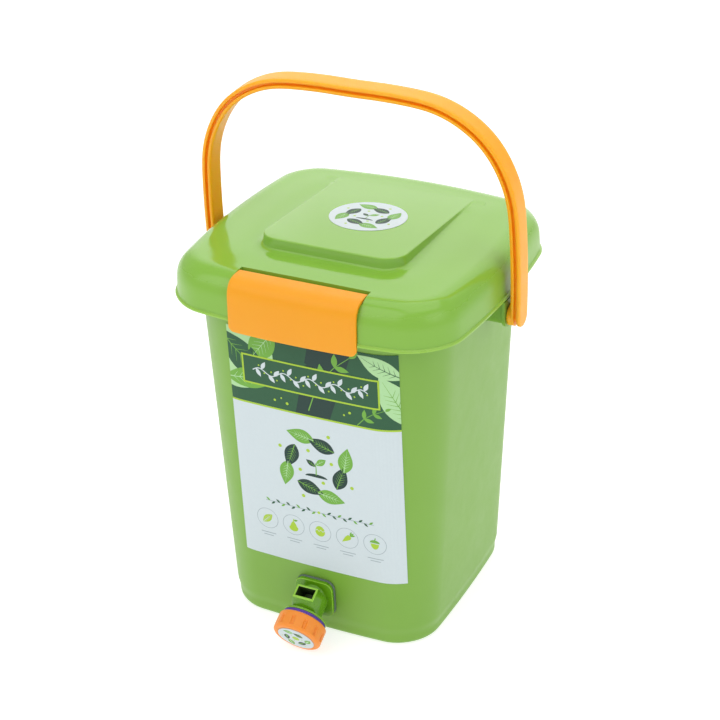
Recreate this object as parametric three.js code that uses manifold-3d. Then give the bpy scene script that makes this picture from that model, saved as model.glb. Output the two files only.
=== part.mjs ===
// A twelve litre kitchen compost bin: a tapered square bucket, a lift-off lid with a raised
// wedge on top and a sprung latch in front, a bail handle, a drain grate inside and a
// turn tap at the foot of the front wall. Millimetres, +Z up, origin at the middle of the
// base. The front, with the label, latch and tap, faces -Y.
import * as THREE from "three";
import { ConvexGeometry } from "three/addons/geometries/ConvexGeometry.js";
import { mergeVertices } from "three/addons/utils/BufferGeometryUtils.js";
import Module from "manifold-3d";

const wasm = await Module();
wasm.setup();

// Clearances
const seatGap = 0.3; // between pieces that rest on or beside each other
const runningGap = 0.6; // round the latch and between the bail and its bosses
const cutOverrun = 2; // how far a cutter reaches past what it cuts

// Bucket
const baseWidth = 191;
const baseDepth = 196;
const baseCorner = 36;
const baseEdge = 5; // rounding where the walls meet the base
const ledgeHeight = 290; // where the wall turns out under the rim
const mouthWidth = 219.2; // outside, at the ledge
const mouthDepth = 223.4;
const mouthCorner = 51;
const wallBow = 3.5; // how far the middle of a wall stands proud of its corners
const bucketWall = 2.4;
const floorThickness = 3;
const ledgeRise = 6;
const rimRise = 22.5; // from the ledge to the top of the rim
const rimHeight = ledgeHeight + rimRise;
const rimInset = 7.6; // from the lid's outline to the rim's
const rimRounding = 0.8;

// Lid
const lidWidth = 258;
const lidDepth = 252.2;
const lidCorner = 38;
const lidBow = 11;
const lidWall = 2.4;
const skirtLift = 5; // the skirt's lower edge above the bucket's ledge
const skirtHeight = ledgeHeight + skirtLift;
const lipReach = 1.5;
const lipHeight = 1.8;
const skirtDraft = 0.6;
const shoulderLift = 14; // from there to where the skirt turns into the shoulder
const shoulderHeight = skirtHeight + shoulderLift;
const shoulderReach = 18;
const shoulderRise = 21;
const lidTop = shoulderHeight + shoulderRise;
const crownRise = 1.6; // the top is a little higher in its middle
const crownInset = 12; // how far in from the shoulder the crown is reached

// Raised wedge on the lid
const wedgeWidth = 123;
const wedgeFront = -62.5;
const wedgeBack = 88;
const wedgeRise = 10.8; // its front edge above the shoulder
const wedgeFrontTop = lidTop + wedgeRise;
const wedgeCorner = 18;
const wedgeBackCorner = 4;
const wedgeDraft = 1.2;
const wedgeSink = 0.15; // its top dips this far under the crown at the back
const wedgeCove = 1.4; // reach of the cove round its foot
// The cove's course, as shares of its reach and of the wedge's height above the crown.
const wedgeCove_shares = [[1, 0], [0.35, 0.07], [0, 0.2]];

// Seal round the lid's plug rib
const sealThickness = 3.5;
const sealHeight = 5;
const sealDrop = 9; // its lower side under the rim
const sealBottom = rimHeight - sealDrop;
const seatRibWall = 1.6; // small ribs between the plug rib and the skirt that sit on the rim
const seatRibSpread = 60;
const seatRibFront = 76;
const plugRibWall = 2;
const plugRibDrop = 11.5; // its lower end under the rim
const plugRibBottom = rimHeight - plugRibDrop;
const sealShelf = 1.5; // height and reach of the small ledge that carries the seal

// Latch
const latchWidth = 110;
const latchOverhang = 8; // how far it hangs below the skirt
const latchBottom = skirtHeight - latchOverhang;
const latchThickness = 2.4;
const latchProud = 0.4; // in front of the lid's lip
const latchCorner = 5;
const latchBendPower = 3.2; // the fold's curve: 2 is an ellipse, more is squarer
const latchHingeInset = 23.1; // pin's distance behind the lid's front
const latchHingeDepth = lidDepth / 2 - latchHingeInset;
const latchHingeDrop = 4.5; // pin below the lid's flat top
const latchBarrel = 4.2; // radius of the barrel round the pin
const latchStubRadius = 1.9;
const latchStubReach = 1.8;
const latchCatchHeight = 3;
const latchCatchRise = 6.4; // its upper side above the latch's lower edge
const latchCatchTop = latchBottom + latchCatchRise;
const latchCatchClear = 0.7; // from the crest of the catch to the rim
const latchCatchWidth = 70;
const pocketWall = 2;
const pocketHeel = 0.6; // free space behind the latch's barrel
const pocketWindow = 3; // the skirt behind the latch ends this much higher

// Bail handle
const bailPivotDrop = 11; // below the bucket's ledge
const bailPivotHeight = ledgeHeight - bailPivotDrop;
const bailPivotDepth = 2.5; // the pivots sit this far behind the middle
const bailOutset = 4.25; // middle of the strip from the lid's outline, at the pivots
const bailHalfWidth = lidWidth / 2 + bailOutset;
const bailRise = 173.5; // pivots to the middle of the strip at the top
const bailStripWidth = 15.5;
const bailThickness = 8.5;
const bailGroove = 2.3;
const bailGrooveDepth = 3;
const bailEdge = 0.9; // small chamfer along the strip
const bailLean = THREE.MathUtils.degToRad(2.57); // leans forward as it stands
const bailEndRadius = 9; // round pad inside each end
const bailEndSink = 0.1; // the round end's faces lie this far under the strip's
const bailStubRadius = 4.5;
const bailHeadRadius = 5.8;
const bailHeadThickness = 2;
// The strip's course, as shares of its half width and of its rise, from the right pivot.
const bailCourse_shares = [
  [1.022, 0], [1.026, 0.127], [1.022, 0.38], [0.99, 0.628], [0.838, 0.845], [0.578, 0.972], [0.272, 1.0], [0, 0.999]
];

// Bosses on the bucket that carry the bail
const bossRadius = 9.5;
const bossWall = 2.2;
const bossPlate = 2.5;
const bossPlateFlange = 1.2;
const bossHoleClear = 0.35;
const bossRoot = 112; // how far out the boss's hollow starts

// Drain grate
const grateTop = 66;
const grateThickness = 2.6;
const grateGap = 1.4; // round its edge
const grateHole = 6;
const gratePitch = 19;
const grateRows = 8;
const grateRimDrop = 7;
const grateRimWall = 2.2;
const grateLegSpread = 57;
const grateLegRadius = 6.5;
const grateLegWall = 1.8;

// Tap, on a flange against the front wall
const tapHeight = 37.6;
const flangeSize = 34;
const flangeCorner = 7;
const flangeThickness = 3;
const gasketSize = 36.4;
const gasketCorner = 8.2;
const gasketThickness = 2.2;
const tailRadius = 9.5;
const tailLength = 14; // inside the bucket
const inletRadius = 6.3;
const washerRadius = 15;
const washerThickness = 2.2;
const nutAcross = 30;
const nutThickness = 7;
const barrelTilt = THREE.MathUtils.degToRad(25); // the barrel points down from the wall's normal
const barrelRadius = 12.3;
const barrelBore = 9;
const barrelLength = 19;
const barrelFloor = 1;
const barrelRootInset = 0.4; // the barrel is a little slimmer where it leaves the flange
const collarRadius = 18.9;
const collarThickness = 1.6;
const mouthSpan = 19; // the spout's open end
const mouthGap = 11.9;
const mouthRise = 20.2;
const mouthSet = 6.4; // middle of the spout along the barrel
const spoutWall = 1.8;

// Valve, seal ring and knob on the barrel
const plugClear = 0.3;
const plugBore = 5.8;
const plugWindowLength = 7.4;
const plugHollow = 13;
const stemRadius = 4;
const stemLength = 9.5;
const ringRadius = 18.6;
const ringThickness = 2.6;
const knobRadius = 20.8;
const knobLength = 15.6;
const knobWall = 2.6;
const knobChamfer = 1.8;
const knobBackEdge = 1.2;
const knobHubWall = 1.8;
const knobGrips = 12;
const gripRadius = 1.6;
const gripDepth = 1.1;
const gripStart = 2.6; // from the knob's face
const gripLength = 8.5;

// Stickers
const labelThickness = 0.4;
const labelWidth = 146;
const labelShift = 7.4; // it sits off centre
const labelBottom = 65.7;
const labelDrop = 6; // its upper edge below the ledge
const labelTop = ledgeHeight - labelDrop;
const lidDiscRadius = 32;
const lidDiscDepth = 14.4; // behind the middle of the lid
const knobDiscRadius = 16;

// Fineness of curves
const cornerSteps = 6;
const sideSteps = 4;
const filletSteps = 3;
const shoulderSteps = 4;
const roundSteps = 36;
const smallSteps = 20;
const bailSteps = 32;
const bowSteps = 6; // across the latch and its pocket
const bendSteps = 8; // round the latch's fold
const gripSteps = 10;
const quarter = Math.PI / 2;

// Colours
const bodyGreen = { color: 0x7fb24c, roughness: 0.42, metalness: 0 };
const lidGreen = { color: 0x9ccb63, roughness: 0.35, metalness: 0 };
const tapGreen = { color: 0x5a961e, roughness: 0.4, metalness: 0 };
const orange = { color: 0xf9ab35, roughness: 0.4, metalness: 0 };
const knobOrange = { color: 0xfb9e42, roughness: 0.45, metalness: 0 };
const violetRubber = { color: 0x6a4ca8, roughness: 0.55, metalness: 0 };
const greyRubber = { color: 0x7c8c78, roughness: 0.8, metalness: 0 };
const clearRubber = { color: 0xd9ded6, roughness: 0.6, metalness: 0 };
const paperWhite = { color: 0xd8e2e6, roughness: 0.5, metalness: 0 };

const lerp = THREE.MathUtils.lerp;

// A rectangle with round corners and slightly bowed sides, as a closed ring at height z.
function bowedRing(halfX, halfY, corner, bow, z) {
  const ends = [[1, 1], [-1, 1], [-1, -1], [1, -1]];
  const flat = [];
  ends.forEach(([sideX, sideY], index) => {
    for (let k = 0; k <= cornerSteps; k++) {
      const turn = (index + k / cornerSteps) * quarter;
      const x = sideX * (halfX - corner) + corner * Math.cos(turn);
      const y = sideY * (halfY - corner) + corner * Math.sin(turn);
      flat.push([x, y]);
    }
    const [nextX, nextY] = ends[(index + 1) % ends.length];
    const turn = (index + 1) * quarter;
    for (let k = 1; k < sideSteps; k++) {
      const x = lerp(sideX, nextX, k / sideSteps) * (halfX - corner) + corner * Math.cos(turn);
      const y = lerp(sideY, nextY, k / sideSteps) * (halfY - corner) + corner * Math.sin(turn);
      flat.push([x, y]);
    }
  });
  return flat.map(([x, y]) => bowed(x, y, halfX, halfY, bow, z));
}

// Draws the sides in towards their corners.
function bowed(x, y, halfX, halfY, bow, z) {
  const newY = y * (1 - (bow / halfY) * (x / halfX) ** 2);
  const newX = x * (1 - (bow / halfX) * (newY / halfY) ** 2);
  return new THREE.Vector3(newX, newY, z);
}

function circleRing(radius, z, steps = roundSteps) {
  const ring = [];
  for (let k = 0; k < steps; k++) {
    const turn = (k / steps) * 4 * quarter;
    ring.push(new THREE.Vector3(radius * Math.cos(turn), radius * Math.sin(turn), z));
  }
  return ring;
}

// Skins a closed body over rings of equal count. Its two ends are filled, or the last ring
// is joined to the first where the body is itself a ring.
function loft(rings, section = null, joined = false) {
  const count = rings[0].length;
  const positions = rings.flat().flatMap((point) => [point.x, point.y, point.z]);
  const faces = [];
  const bands = joined ? rings.length : rings.length - 1;
  for (let i = 0; i < bands; i++) {
    const low = i * count;
    const high = ((i + 1) % rings.length) * count;
    for (let j = 0; j < count; j++) {
      const next = (j + 1) % count;
      faces.push(low + j, low + next, high + next, low + j, high + next, high + j);
    }
  }
  if (!joined) {
    const last = (rings.length - 1) * count;
    for (const [a, b, c] of fillOf(section || rings[0])) {
      faces.push(a, c, b);
    }
    for (const [a, b, c] of fillOf(section || rings[rings.length - 1])) {
      faces.push(last + a, last + b, last + c);
    }
  }
  const geometry = new THREE.BufferGeometry();
  geometry.setAttribute("position", new THREE.Float32BufferAttribute(positions, 3));
  geometry.setIndex(faces);
  return geometry;
}

// Triangles that fill a ring, all turning the same way.
function fillOf(ring) {
  const outline = ring.map((point) => new THREE.Vector2(point.x, point.y));
  return THREE.ShapeUtils.triangulateShape(outline, []).map(([a, b, c]) => {
    const turn = THREE.ShapeUtils.area([outline[a], outline[b], outline[c]]);
    return turn > 0 ? [a, b, c] : [a, c, b];
  });
}

// A turned body from pairs of radius and height, with flat ends.
function turned(profile, steps = roundSteps) {
  return loft(profile.map(([radius, z]) => circleRing(radius, z, steps)));
}

// A turned ring: its section's corners run round once and join up.
function turnedRing(profile, steps = roundSteps) {
  return loft(profile.map(([radius, z]) => circleRing(radius, z, steps)), null, true);
}

function box(width, depth, height, x, y, z) {
  return new THREE.BoxGeometry(width, depth, height).translate(x, y, z);
}

function solidOf(geometry) {
  const plain = geometry.clone();
  plain.deleteAttribute("normal");
  plain.deleteAttribute("uv");
  const merged = mergeVertices(plain);
  return new wasm.Manifold(new wasm.Mesh({
    numProp: 3,
    vertProperties: new Float32Array(merged.attributes.position.array),
    triVerts: new Uint32Array(merged.index.array)
  }));
}

function geometryOf(solid) {
  const { vertProperties, triVerts } = solid.getMesh();
  const geometry = new THREE.BufferGeometry();
  geometry.setAttribute("position", new THREE.BufferAttribute(vertProperties, 3));
  geometry.setIndex(new THREE.BufferAttribute(triVerts, 1));
  return geometry;
}

function joinedOf(...geometries) {
  return geometries.map(solidOf).reduce((whole, solid) => whole.add(solid));
}

function meshOf(name, shape, finish) {
  const geometry = shape.isBufferGeometry ? shape : geometryOf(shape);
  geometry.computeVertexNormals();
  const mesh = new THREE.Mesh(geometry, new THREE.MeshStandardMaterial(finish));
  mesh.name = name;
  return mesh;
}

// Sizes of the tapered wall's outline at a height: half width, half depth, corner radius.
function wallAt(z) {
  const share = z / ledgeHeight;
  return [
    lerp(baseWidth, mouthWidth, share) / 2,
    lerp(baseDepth, mouthDepth, share) / 2,
    lerp(baseCorner, mouthCorner, share)
  ];
}

function wallRing(inset, z, sizesAt = z) {
  const [halfX, halfY, corner] = wallAt(sizesAt);
  return bowedRing(halfX - inset, halfY - inset, corner - inset, wallBow, z);
}

// A ring that follows the lid's outline, drawn in by an inset.
function lidRing(inset, z) {
  const corner = Math.max(lidCorner - inset, lidCorner / 3);
  return bowedRing(lidWidth / 2 - inset, lidDepth / 2 - inset, corner, lidBow, z);
}

// Insets that several pieces share
const skirtInset = lipReach + skirtDraft;
const rimOuter = rimInset;
const rimInner = rimInset + bucketWall;

function bucket() {
  const rings = [];
  for (let k = 0; k <= filletSteps; k++) {
    const turn = (k / filletSteps) * quarter;
    rings.push(wallRing(baseEdge * (1 - Math.sin(turn)), baseEdge * (1 - Math.cos(turn)), baseEdge));
  }
  rings.push(wallRing(0, ledgeHeight));
  rings.push(lidRing(rimOuter, ledgeHeight + ledgeRise));
  rings.push(lidRing(rimOuter, rimHeight - rimRounding));
  rings.push(lidRing(rimOuter + rimRounding, rimHeight));
  rings.push(lidRing(rimInner - rimRounding, rimHeight));
  rings.push(lidRing(rimInner, rimHeight - rimRounding));
  rings.push(lidRing(rimInner, ledgeHeight + ledgeRise + bucketWall));
  rings.push(wallRing(bucketWall, ledgeHeight + bucketWall, ledgeHeight));
  const innerEdge = baseEdge - bucketWall / 2;
  for (let k = 0; k <= filletSteps; k++) {
    const turn = (k / filletSteps) * quarter;
    const z = floorThickness + innerEdge * (1 - Math.sin(turn));
    rings.push(wallRing(bucketWall + innerEdge * (1 - Math.cos(turn)), z, floorThickness + innerEdge));
  }
  let shell = solidOf(loft(rings));
  for (const side of [1, -1]) {
    shell = shell.add(bailBoss(side)).subtract(bailBossHollow(side));
  }
  shell = shell.subtract(solidOf(inTapFrame(tapHole())));
  return meshOf("bucket", shell, bodyGreen);
}

const bossTop = ledgeHeight + ledgeRise / 2;
const bossFace = bailHalfWidth - bailThickness / 2 - runningGap; // outer face of the boss plate

// A block that is round below its pivot, from one distance out to another.
function bossBlock(radius, from, to, top) {
  const outline = new THREE.Shape();
  outline.moveTo(-radius, top - bailPivotHeight);
  outline.lineTo(-radius, 0);
  outline.absarc(0, 0, radius, Math.PI, 2 * Math.PI, false);
  outline.lineTo(radius, top - bailPivotHeight);
  outline.closePath();
  const block = new THREE.ExtrudeGeometry(outline, {
    depth: to - from, bevelEnabled: false, curveSegments: cornerSteps
  });
  // The outline's x and y become Y and Z, and it is drawn out along X.
  const turn = new THREE.Matrix4().makeBasis(
    new THREE.Vector3(0, 1, 0), new THREE.Vector3(0, 0, 1), new THREE.Vector3(1, 0, 0));
  turn.setPosition(from, bailPivotDepth, bailPivotHeight);
  return block.applyMatrix4(turn);
}

function bailBoss(side) {
  const root = wallAt(bailPivotHeight)[0] - bucketWall / 2;
  const body = bossBlock(bossRadius, root, bossFace - bossPlate / 2, bossTop);
  const plate = bossBlock(bossRadius + bossPlateFlange, bossFace - bossPlate, bossFace, bossTop);
  return mirrored(joinedOf(body, plate), side);
}

// The space behind the plate, open below, and the hole in the plate.
function bailBossHollow(side) {
  const inside = bossBlock(bossRadius - bossWall, bossRoot, bossFace - bossPlate, ledgeHeight - bucketWall);
  const below = box(
    bossFace - bossPlate - bossRoot, 2 * (bossRadius - bossWall), bossRadius + cutOverrun,
    (bossFace - bossPlate + bossRoot) / 2, bailPivotDepth,
    bailPivotHeight - (bossRadius + cutOverrun) / 2);
  const hole = alongX(bailStubRadius + bossHoleClear, bossFace - bossPlate - cutOverrun, bossFace + cutOverrun)
    .translate(0, bailPivotDepth, bailPivotHeight);
  return mirrored(joinedOf(inside, below, hole), side);
}

function mirrored(solid, side) {
  return side > 0 ? solid : solid.mirror([1, 0, 0]);
}

// A round bar along X.
function alongX(radius, from, to, steps = smallSteps) {
  return turned([[radius, from], [radius, to]], steps).rotateY(quarter);
}

// The bail: a strip of H section along a curve, with round ends and snap stubs.
function bail() {
  const half = bailCourse_shares.map(([across, up]) => (
    new THREE.Vector3(across * bailHalfWidth, 0, up * bailRise)));
  const otherHalf = half.slice(0, -1).reverse().map((point) => new THREE.Vector3(-point.x, 0, point.z));
  const course = new THREE.CatmullRomCurve3([...half, ...otherHalf], false, "centripetal");
  const section = stripSection();
  const rings = [];
  for (let k = 0; k <= bailSteps; k++) {
    const point = course.getPointAt(k / bailSteps);
    const along = course.getTangentAt(k / bailSteps);
    const outward = new THREE.Vector3(0, 1, 0).cross(along).normalize();
    rings.push(section.map(({ x, y }) => (
      point.clone().addScaledVector(outward, x).add(new THREE.Vector3(0, y, 0)))));
  }
  let solid = solidOf(loft(rings, section));
  const inner = bailHalfWidth - bailThickness / 2;
  const headEnd = inner - runningGap - bossPlate - runningGap;
  const legMiddle = half[0].x;
  for (const side of [1, -1]) {
    const pad = alongX(bailEndRadius, inner, legMiddle - bailGroove, roundSteps);
    const stub = alongX(bailStubRadius, headEnd - bailHeadThickness / 2, inner + bailThickness / 2);
    const head = turned([
      [bailStubRadius, headEnd - bailHeadThickness], [bailHeadRadius, headEnd - bailHeadThickness / 2],
      [bailHeadRadius, headEnd]], smallSteps).rotateY(quarter);
    solid = solid.add(mirrored(joinedOf(stripEnd(legMiddle), pad, stub, head), side));
  }
  const mesh = meshOf("bail_handle", solid, orange);
  mesh.position.set(0, bailPivotDepth, bailPivotHeight);
  mesh.rotation.x = bailLean;
  return mesh;
}

// The strip's round end: half its section turned about the pivot, so that the groove runs round.
function stripEnd(middle) {
  const rim = stripSection()
    .filter(({ y }) => y > 0)
    .map(({ x, y }) => [y - bailEndSink, middle + x * (1 - bailEndSink / bailThickness)])
    .reverse();
  return turned(rim, roundSteps).rotateY(quarter);
}

// The strip's H section: x runs across its thickness and y across its width.
function stripSection() {
  const thick = bailThickness / 2;
  const wide = bailStripWidth / 2;
  const groove = bailGroove / 2;
  const deep = wide - bailGrooveDepth;
  const quarterOutline = [
    [thick, wide - bailEdge], [thick - bailEdge, wide], [groove, wide], [groove, deep]
  ];
  const upper = [...quarterOutline, ...quarterOutline.map(([x, y]) => [-x, y]).reverse()];
  const lower = upper.map(([x, y]) => [-x, -y]);
  return [...upper, ...lower].map(([x, y]) => new THREE.Vector2(x, y));
}

// The lid's outside, up to its flat top, or the hollow under it when a wall is given.
function lidBody(wall) {
  const rings = [];
  if (wall === 0) {
    rings.push(lidRing(0, skirtHeight), lidRing(0, skirtHeight + lipHeight));
    rings.push(lidRing(lipReach, skirtHeight + lipHeight + skirtDraft));
  } else {
    rings.push(lidRing(lipReach + wall, skirtHeight - cutOverrun));
  }
  for (let k = 0; k <= shoulderSteps; k++) {
    const turn = (k / shoulderSteps) * quarter;
    const inset = skirtInset + shoulderReach - (shoulderReach - wall) * Math.cos(turn);
    rings.push(lidRing(inset, shoulderHeight + (shoulderRise - wall) * Math.sin(turn)));
  }
  rings.push(lidRing(skirtInset + shoulderReach + crownInset, lidTop + crownRise - wall));
  return loft(rings);
}

// Height of the wedge's sloping top at a depth.
function wedgeTopAt(y) {
  const backTop = lidTop + crownRise - wedgeSink;
  return lerp(wedgeFrontTop, backTop, (y - wedgeFront) / (wedgeBack - wedgeFront));
}

// The wedge, from under the lid's top to its sloping face, drawn in by an inset.
function wedgeBody(inset, drop) {
  const base = shoulderHeight + shoulderRise / 2;
  const outline = (spread) => {
    const halfX = wedgeWidth / 2 + spread - inset;
    const front = wedgeFront - spread + inset;
    const back = wedgeBack - inset;
    const ring = [];
    const ends = [
      [halfX, back, wedgeBackCorner, 0], [-halfX, back, wedgeBackCorner, 1],
      [-halfX, front, wedgeCorner, 2], [halfX, front, wedgeCorner, 3]
    ];
    for (const [x, y, corner, index] of ends) {
      for (let k = 0; k <= cornerSteps; k++) {
        const turn = (index + k / cornerSteps) * quarter;
        const midX = x - Math.sign(x) * corner;
        const midY = index < 2 ? y - corner : y + corner;
        ring.push([midX + corner * Math.cos(turn), midY + corner * Math.sin(turn)]);
      }
    }
    return ring;
  };
  const ringAt = (spread, heightAt) => (
    outline(spread).map(([x, y]) => new THREE.Vector3(x, y, heightAt(y))));
  const high = ringAt(0, (y) => wedgeTopAt(y) - drop);
  if (inset > 0) {
    return loft([ringAt(wedgeDraft, () => base), high]);
  }
  const foot = lidTop + crownRise - 2 * wedgeSink;
  const cove = wedgeCove_shares.map(([reach, rise]) => (
    ringAt(wedgeDraft + reach * wedgeCove, (y) => lerp(foot, wedgeTopAt(y), rise))));
  return loft([ringAt(wedgeDraft + wedgeCove, () => base), ...cove, high]);
}

const latchHingeHeight = lidTop - latchHingeDrop;
const latchFace = lidDepth / 2 + latchProud;
const latchOuterReach = latchFace - skirtDraft - latchShoulderMid();
const latchOuterRise = latchHingeHeight + latchBarrel - shoulderHeight;

function latchShoulderMid() {
  return lidDepth / 2 - skirtInset - shoulderReach;
}

// Outline in Y and Z of what lies in front of and above the latch's inner side, less an inset.
function pocketOutline(inset, bottom, top) {
  const mid = -latchShoulderMid();
  const reach = latchOuterReach - inset;
  const rise = latchOuterRise - inset;
  const far = -latchFace - cutOverrun - latchProud;
  const outline = new THREE.Shape();
  outline.moveTo(far, bottom);
  outline.lineTo(-latchFace + inset, bottom);
  outline.lineTo(mid - reach, shoulderHeight);
  bendPoints(mid, reach, rise).forEach((point) => outline.lineTo(point.x, point.y));
  outline.lineTo(-latchHingeDepth, shoulderHeight + rise);
  outline.lineTo(-latchHingeDepth, top);
  outline.lineTo(far, top);
  outline.closePath();
  return outline;
}

// The latch's fold, from its upright front up to its flat top.
function bendPoints(mid, reach, rise) {
  const points = [];
  for (let k = 0; k <= bendSteps; k++) {
    const turn = (k / bendSteps) * quarter;
    const back = reach * Math.max(Math.cos(turn), 0) ** (2 / latchBendPower);
    const up = rise * Math.sin(turn) ** (2 / latchBendPower);
    points.push(new THREE.Vector2(mid - back, shoulderHeight + up));
  }
  return points;
}

// A trough along X round the latch's pin, open above.
function heelCutter(radius, width, top) {
  const outline = new THREE.Shape();
  outline.absarc(-latchHingeDepth, latchHingeHeight, radius, Math.PI, 2 * Math.PI, false);
  outline.lineTo(-latchHingeDepth + radius, top);
  outline.lineTo(-latchHingeDepth - radius, top);
  outline.closePath();
  return drawnAlongX(outline, width);
}

// Draws an outline in Y and Z out along X, half to each side.
function drawnAlongX(outline, width, steps = 1) {
  const geometry = new THREE.ExtrudeGeometry(outline, {
    depth: width, steps, bevelEnabled: false, curveSegments: shoulderSteps
  });
  const turn = new THREE.Matrix4().makeBasis(
    new THREE.Vector3(0, 1, 0), new THREE.Vector3(0, 0, 1), new THREE.Vector3(1, 0, 0));
  turn.setPosition(-width / 2, 0, 0);
  return geometry.applyMatrix4(turn);
}

// The same, bowed as the lid's front is.
function bowedAlongX(outline, width) {
  const geometry = drawnAlongX(outline, width, bowSteps);
  const points = geometry.attributes.position;
  for (let k = 0; k < points.count; k++) {
    const y = points.getY(k);
    const share = THREE.MathUtils.clamp((-y - latchHingeDepth) / (latchFace - latchHingeDepth), 0, 1);
    points.setY(k, y + share * lidBow * (points.getX(k) / (lidWidth / 2)) ** 2);
  }
  return geometry;
}

// The latch's pocket in the lid, grown by a wall where that is given.
function latchPocket(wall) {
  const inner = latchThickness + runningGap + wall;
  const width = latchWidth + 2 * (runningGap + wall);
  const top = wedgeFrontTop + cutOverrun;
  const outline = pocketOutline(inner, skirtHeight - cutOverrun - wall, top);
  return joinedOf(bowedAlongX(outline, width), heelCutter(latchBarrel + pocketHeel + wall, width, top));
}

function lid() {
  const pocketBack = latchPocket(pocketWall);
  const hollow = joinedOf(lidBody(lidWall), wedgeBody(lidWall, lidWall)).subtract(pocketBack);
  const pocketWidth = latchWidth + 2 * runningGap;
  const windowDepth = lidDepth / 2 - latchHingeDepth;
  const window = box(
    pocketWidth, windowDepth, pocketWindow + cutOverrun,
    0, -lidDepth / 2 + windowDepth / 2 - cutOverrun, skirtHeight + (pocketWindow - cutOverrun) / 2);
  const socketEnd = pocketWidth / 2 + cutOverrun + pocketWall;
  const sockets = alongX(latchStubRadius + seatGap, -socketEnd, socketEnd)
    .translate(0, -latchHingeDepth, latchHingeHeight);
  let shell = joinedOf(lidBody(0), wedgeBody(0, 0)).subtract(hollow);
  shell = shell.add(plugRib()).add(seatRibs());
  shell = shell.subtract(latchPocket(0)).subtract(solidOf(window)).subtract(solidOf(sockets));
  return meshOf("lid", shell, lidGreen);
}

const sealOuter = rimInner + seatGap;
const plugOuter = sealOuter + sealThickness + seatGap;

// The rib that drops inside the rim, with a small ledge above and below the seal.
function plugRib() {
  const top = lidTop - lidWall / 2;
  const shelfTop = sealBottom - seatGap;
  const upperShelf = sealBottom + sealHeight + seatGap;
  const rings = [
    lidRing(plugOuter, plugRibBottom), lidRing(plugOuter - sealShelf, plugRibBottom + sealShelf / 2),
    lidRing(plugOuter - sealShelf, shelfTop), lidRing(plugOuter, shelfTop),
    lidRing(plugOuter, upperShelf), lidRing(plugOuter - sealShelf, upperShelf),
    lidRing(plugOuter - sealShelf, upperShelf + sealShelf), lidRing(plugOuter, upperShelf + 2 * sealShelf),
    lidRing(plugOuter, top - sealShelf * 4), lidRing(plugOuter + plugRibWall, top),
    lidRing(plugOuter + plugRibWall, plugRibBottom)
  ];
  return solidOf(loft(rings, null, true));
}

// Ribs across the channel over the rim, on which the lid rests.
function seatRibs() {
  const from = lipReach + lidWall / 2;
  const to = plugOuter + plugRibWall / 2;
  const low = rimHeight + seatGap;
  const ribs = [];
  const add = (x, y, turn) => {
    const rib = box(to - from, seatRibWall, lidTop - low, -(from + to) / 2, 0, (lidTop + low) / 2);
    ribs.push(rib.rotateZ(turn).translate(x, y, 0));
  };
  for (const share of [-1, 0, 1]) {
    const across = share * seatRibSpread;
    const drawnX = lidWidth / 2 - lidBow * (across / (lidDepth / 2)) ** 2;
    const drawnY = lidDepth / 2 - lidBow * (across / (lidWidth / 2)) ** 2;
    add(drawnX, across, 0);
    add(-drawnX, across, 2 * quarter);
    add(across, drawnY, quarter);
  }
  const drawnFront = lidDepth / 2 - lidBow * (seatRibFront / (lidWidth / 2)) ** 2;
  add(seatRibFront, -drawnFront, -quarter);
  add(-seatRibFront, -drawnFront, -quarter);
  return joinedOf(...ribs).intersect(solidOf(lidBody(0)));
}

function lidSeal() {
  const rings = [
    lidRing(sealOuter, sealBottom), lidRing(sealOuter, sealBottom + sealHeight),
    lidRing(sealOuter + sealThickness, sealBottom + sealHeight), lidRing(sealOuter + sealThickness, sealBottom)
  ];
  return meshOf("lid_seal", loft(rings, null, true), clearRubber);
}

// The latch: a curved cover with a barrel round its pin, end stubs and a catch rib.
function latch() {
  const mid = -latchShoulderMid();
  const outerReach = latchOuterReach;
  const outerRise = latchOuterRise;
  const outline = new THREE.Shape();
  const outer = bendPoints(mid, outerReach, outerRise);
  const inner = bendPoints(mid, outerReach - latchThickness, outerRise - latchThickness).reverse();
  outline.moveTo(-latchFace, latchBottom);
  outer.forEach((point) => outline.lineTo(point.x, point.y));
  outline.lineTo(-latchHingeDepth, shoulderHeight + outerRise);
  outline.lineTo(-latchHingeDepth, shoulderHeight + outerRise - latchThickness);
  inner.forEach((point) => outline.lineTo(point.x, point.y));
  outline.lineTo(-latchFace + latchThickness, latchBottom);
  outline.closePath();
  let solid = solidOf(bowedAlongX(outline, latchWidth));
  const rimFace = lidDepth / 2 - rimOuter;
  const crest = rimFace + latchCatchClear;
  const rib = new THREE.Shape();
  rib.moveTo(-latchFace + latchThickness / 2, latchCatchTop);
  rib.lineTo(-crest - latchCatchHeight / 4, latchCatchTop);
  rib.lineTo(-crest, latchCatchTop - latchCatchHeight / 4);
  rib.lineTo(-crest, latchCatchTop - latchCatchHeight / 2);
  rib.lineTo(-latchFace + latchThickness / 2, latchCatchTop - latchCatchHeight);
  rib.closePath();
  solid = solid.add(solidOf(bowedAlongX(rib, latchCatchWidth)));
  const stubs = alongX(latchStubRadius, -latchWidth / 2 - latchStubReach, latchWidth / 2 + latchStubReach);
  const barrel = alongX(latchBarrel, -latchWidth / 2, latchWidth / 2);
  const pin = joinedOf(stubs, barrel).translate([0, -latchHingeDepth, latchHingeHeight]);
  solid = solid.add(pin).intersect(solidOf(latchFrontOutline()));
  return meshOf("lid_latch", solid, orange);
}

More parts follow.
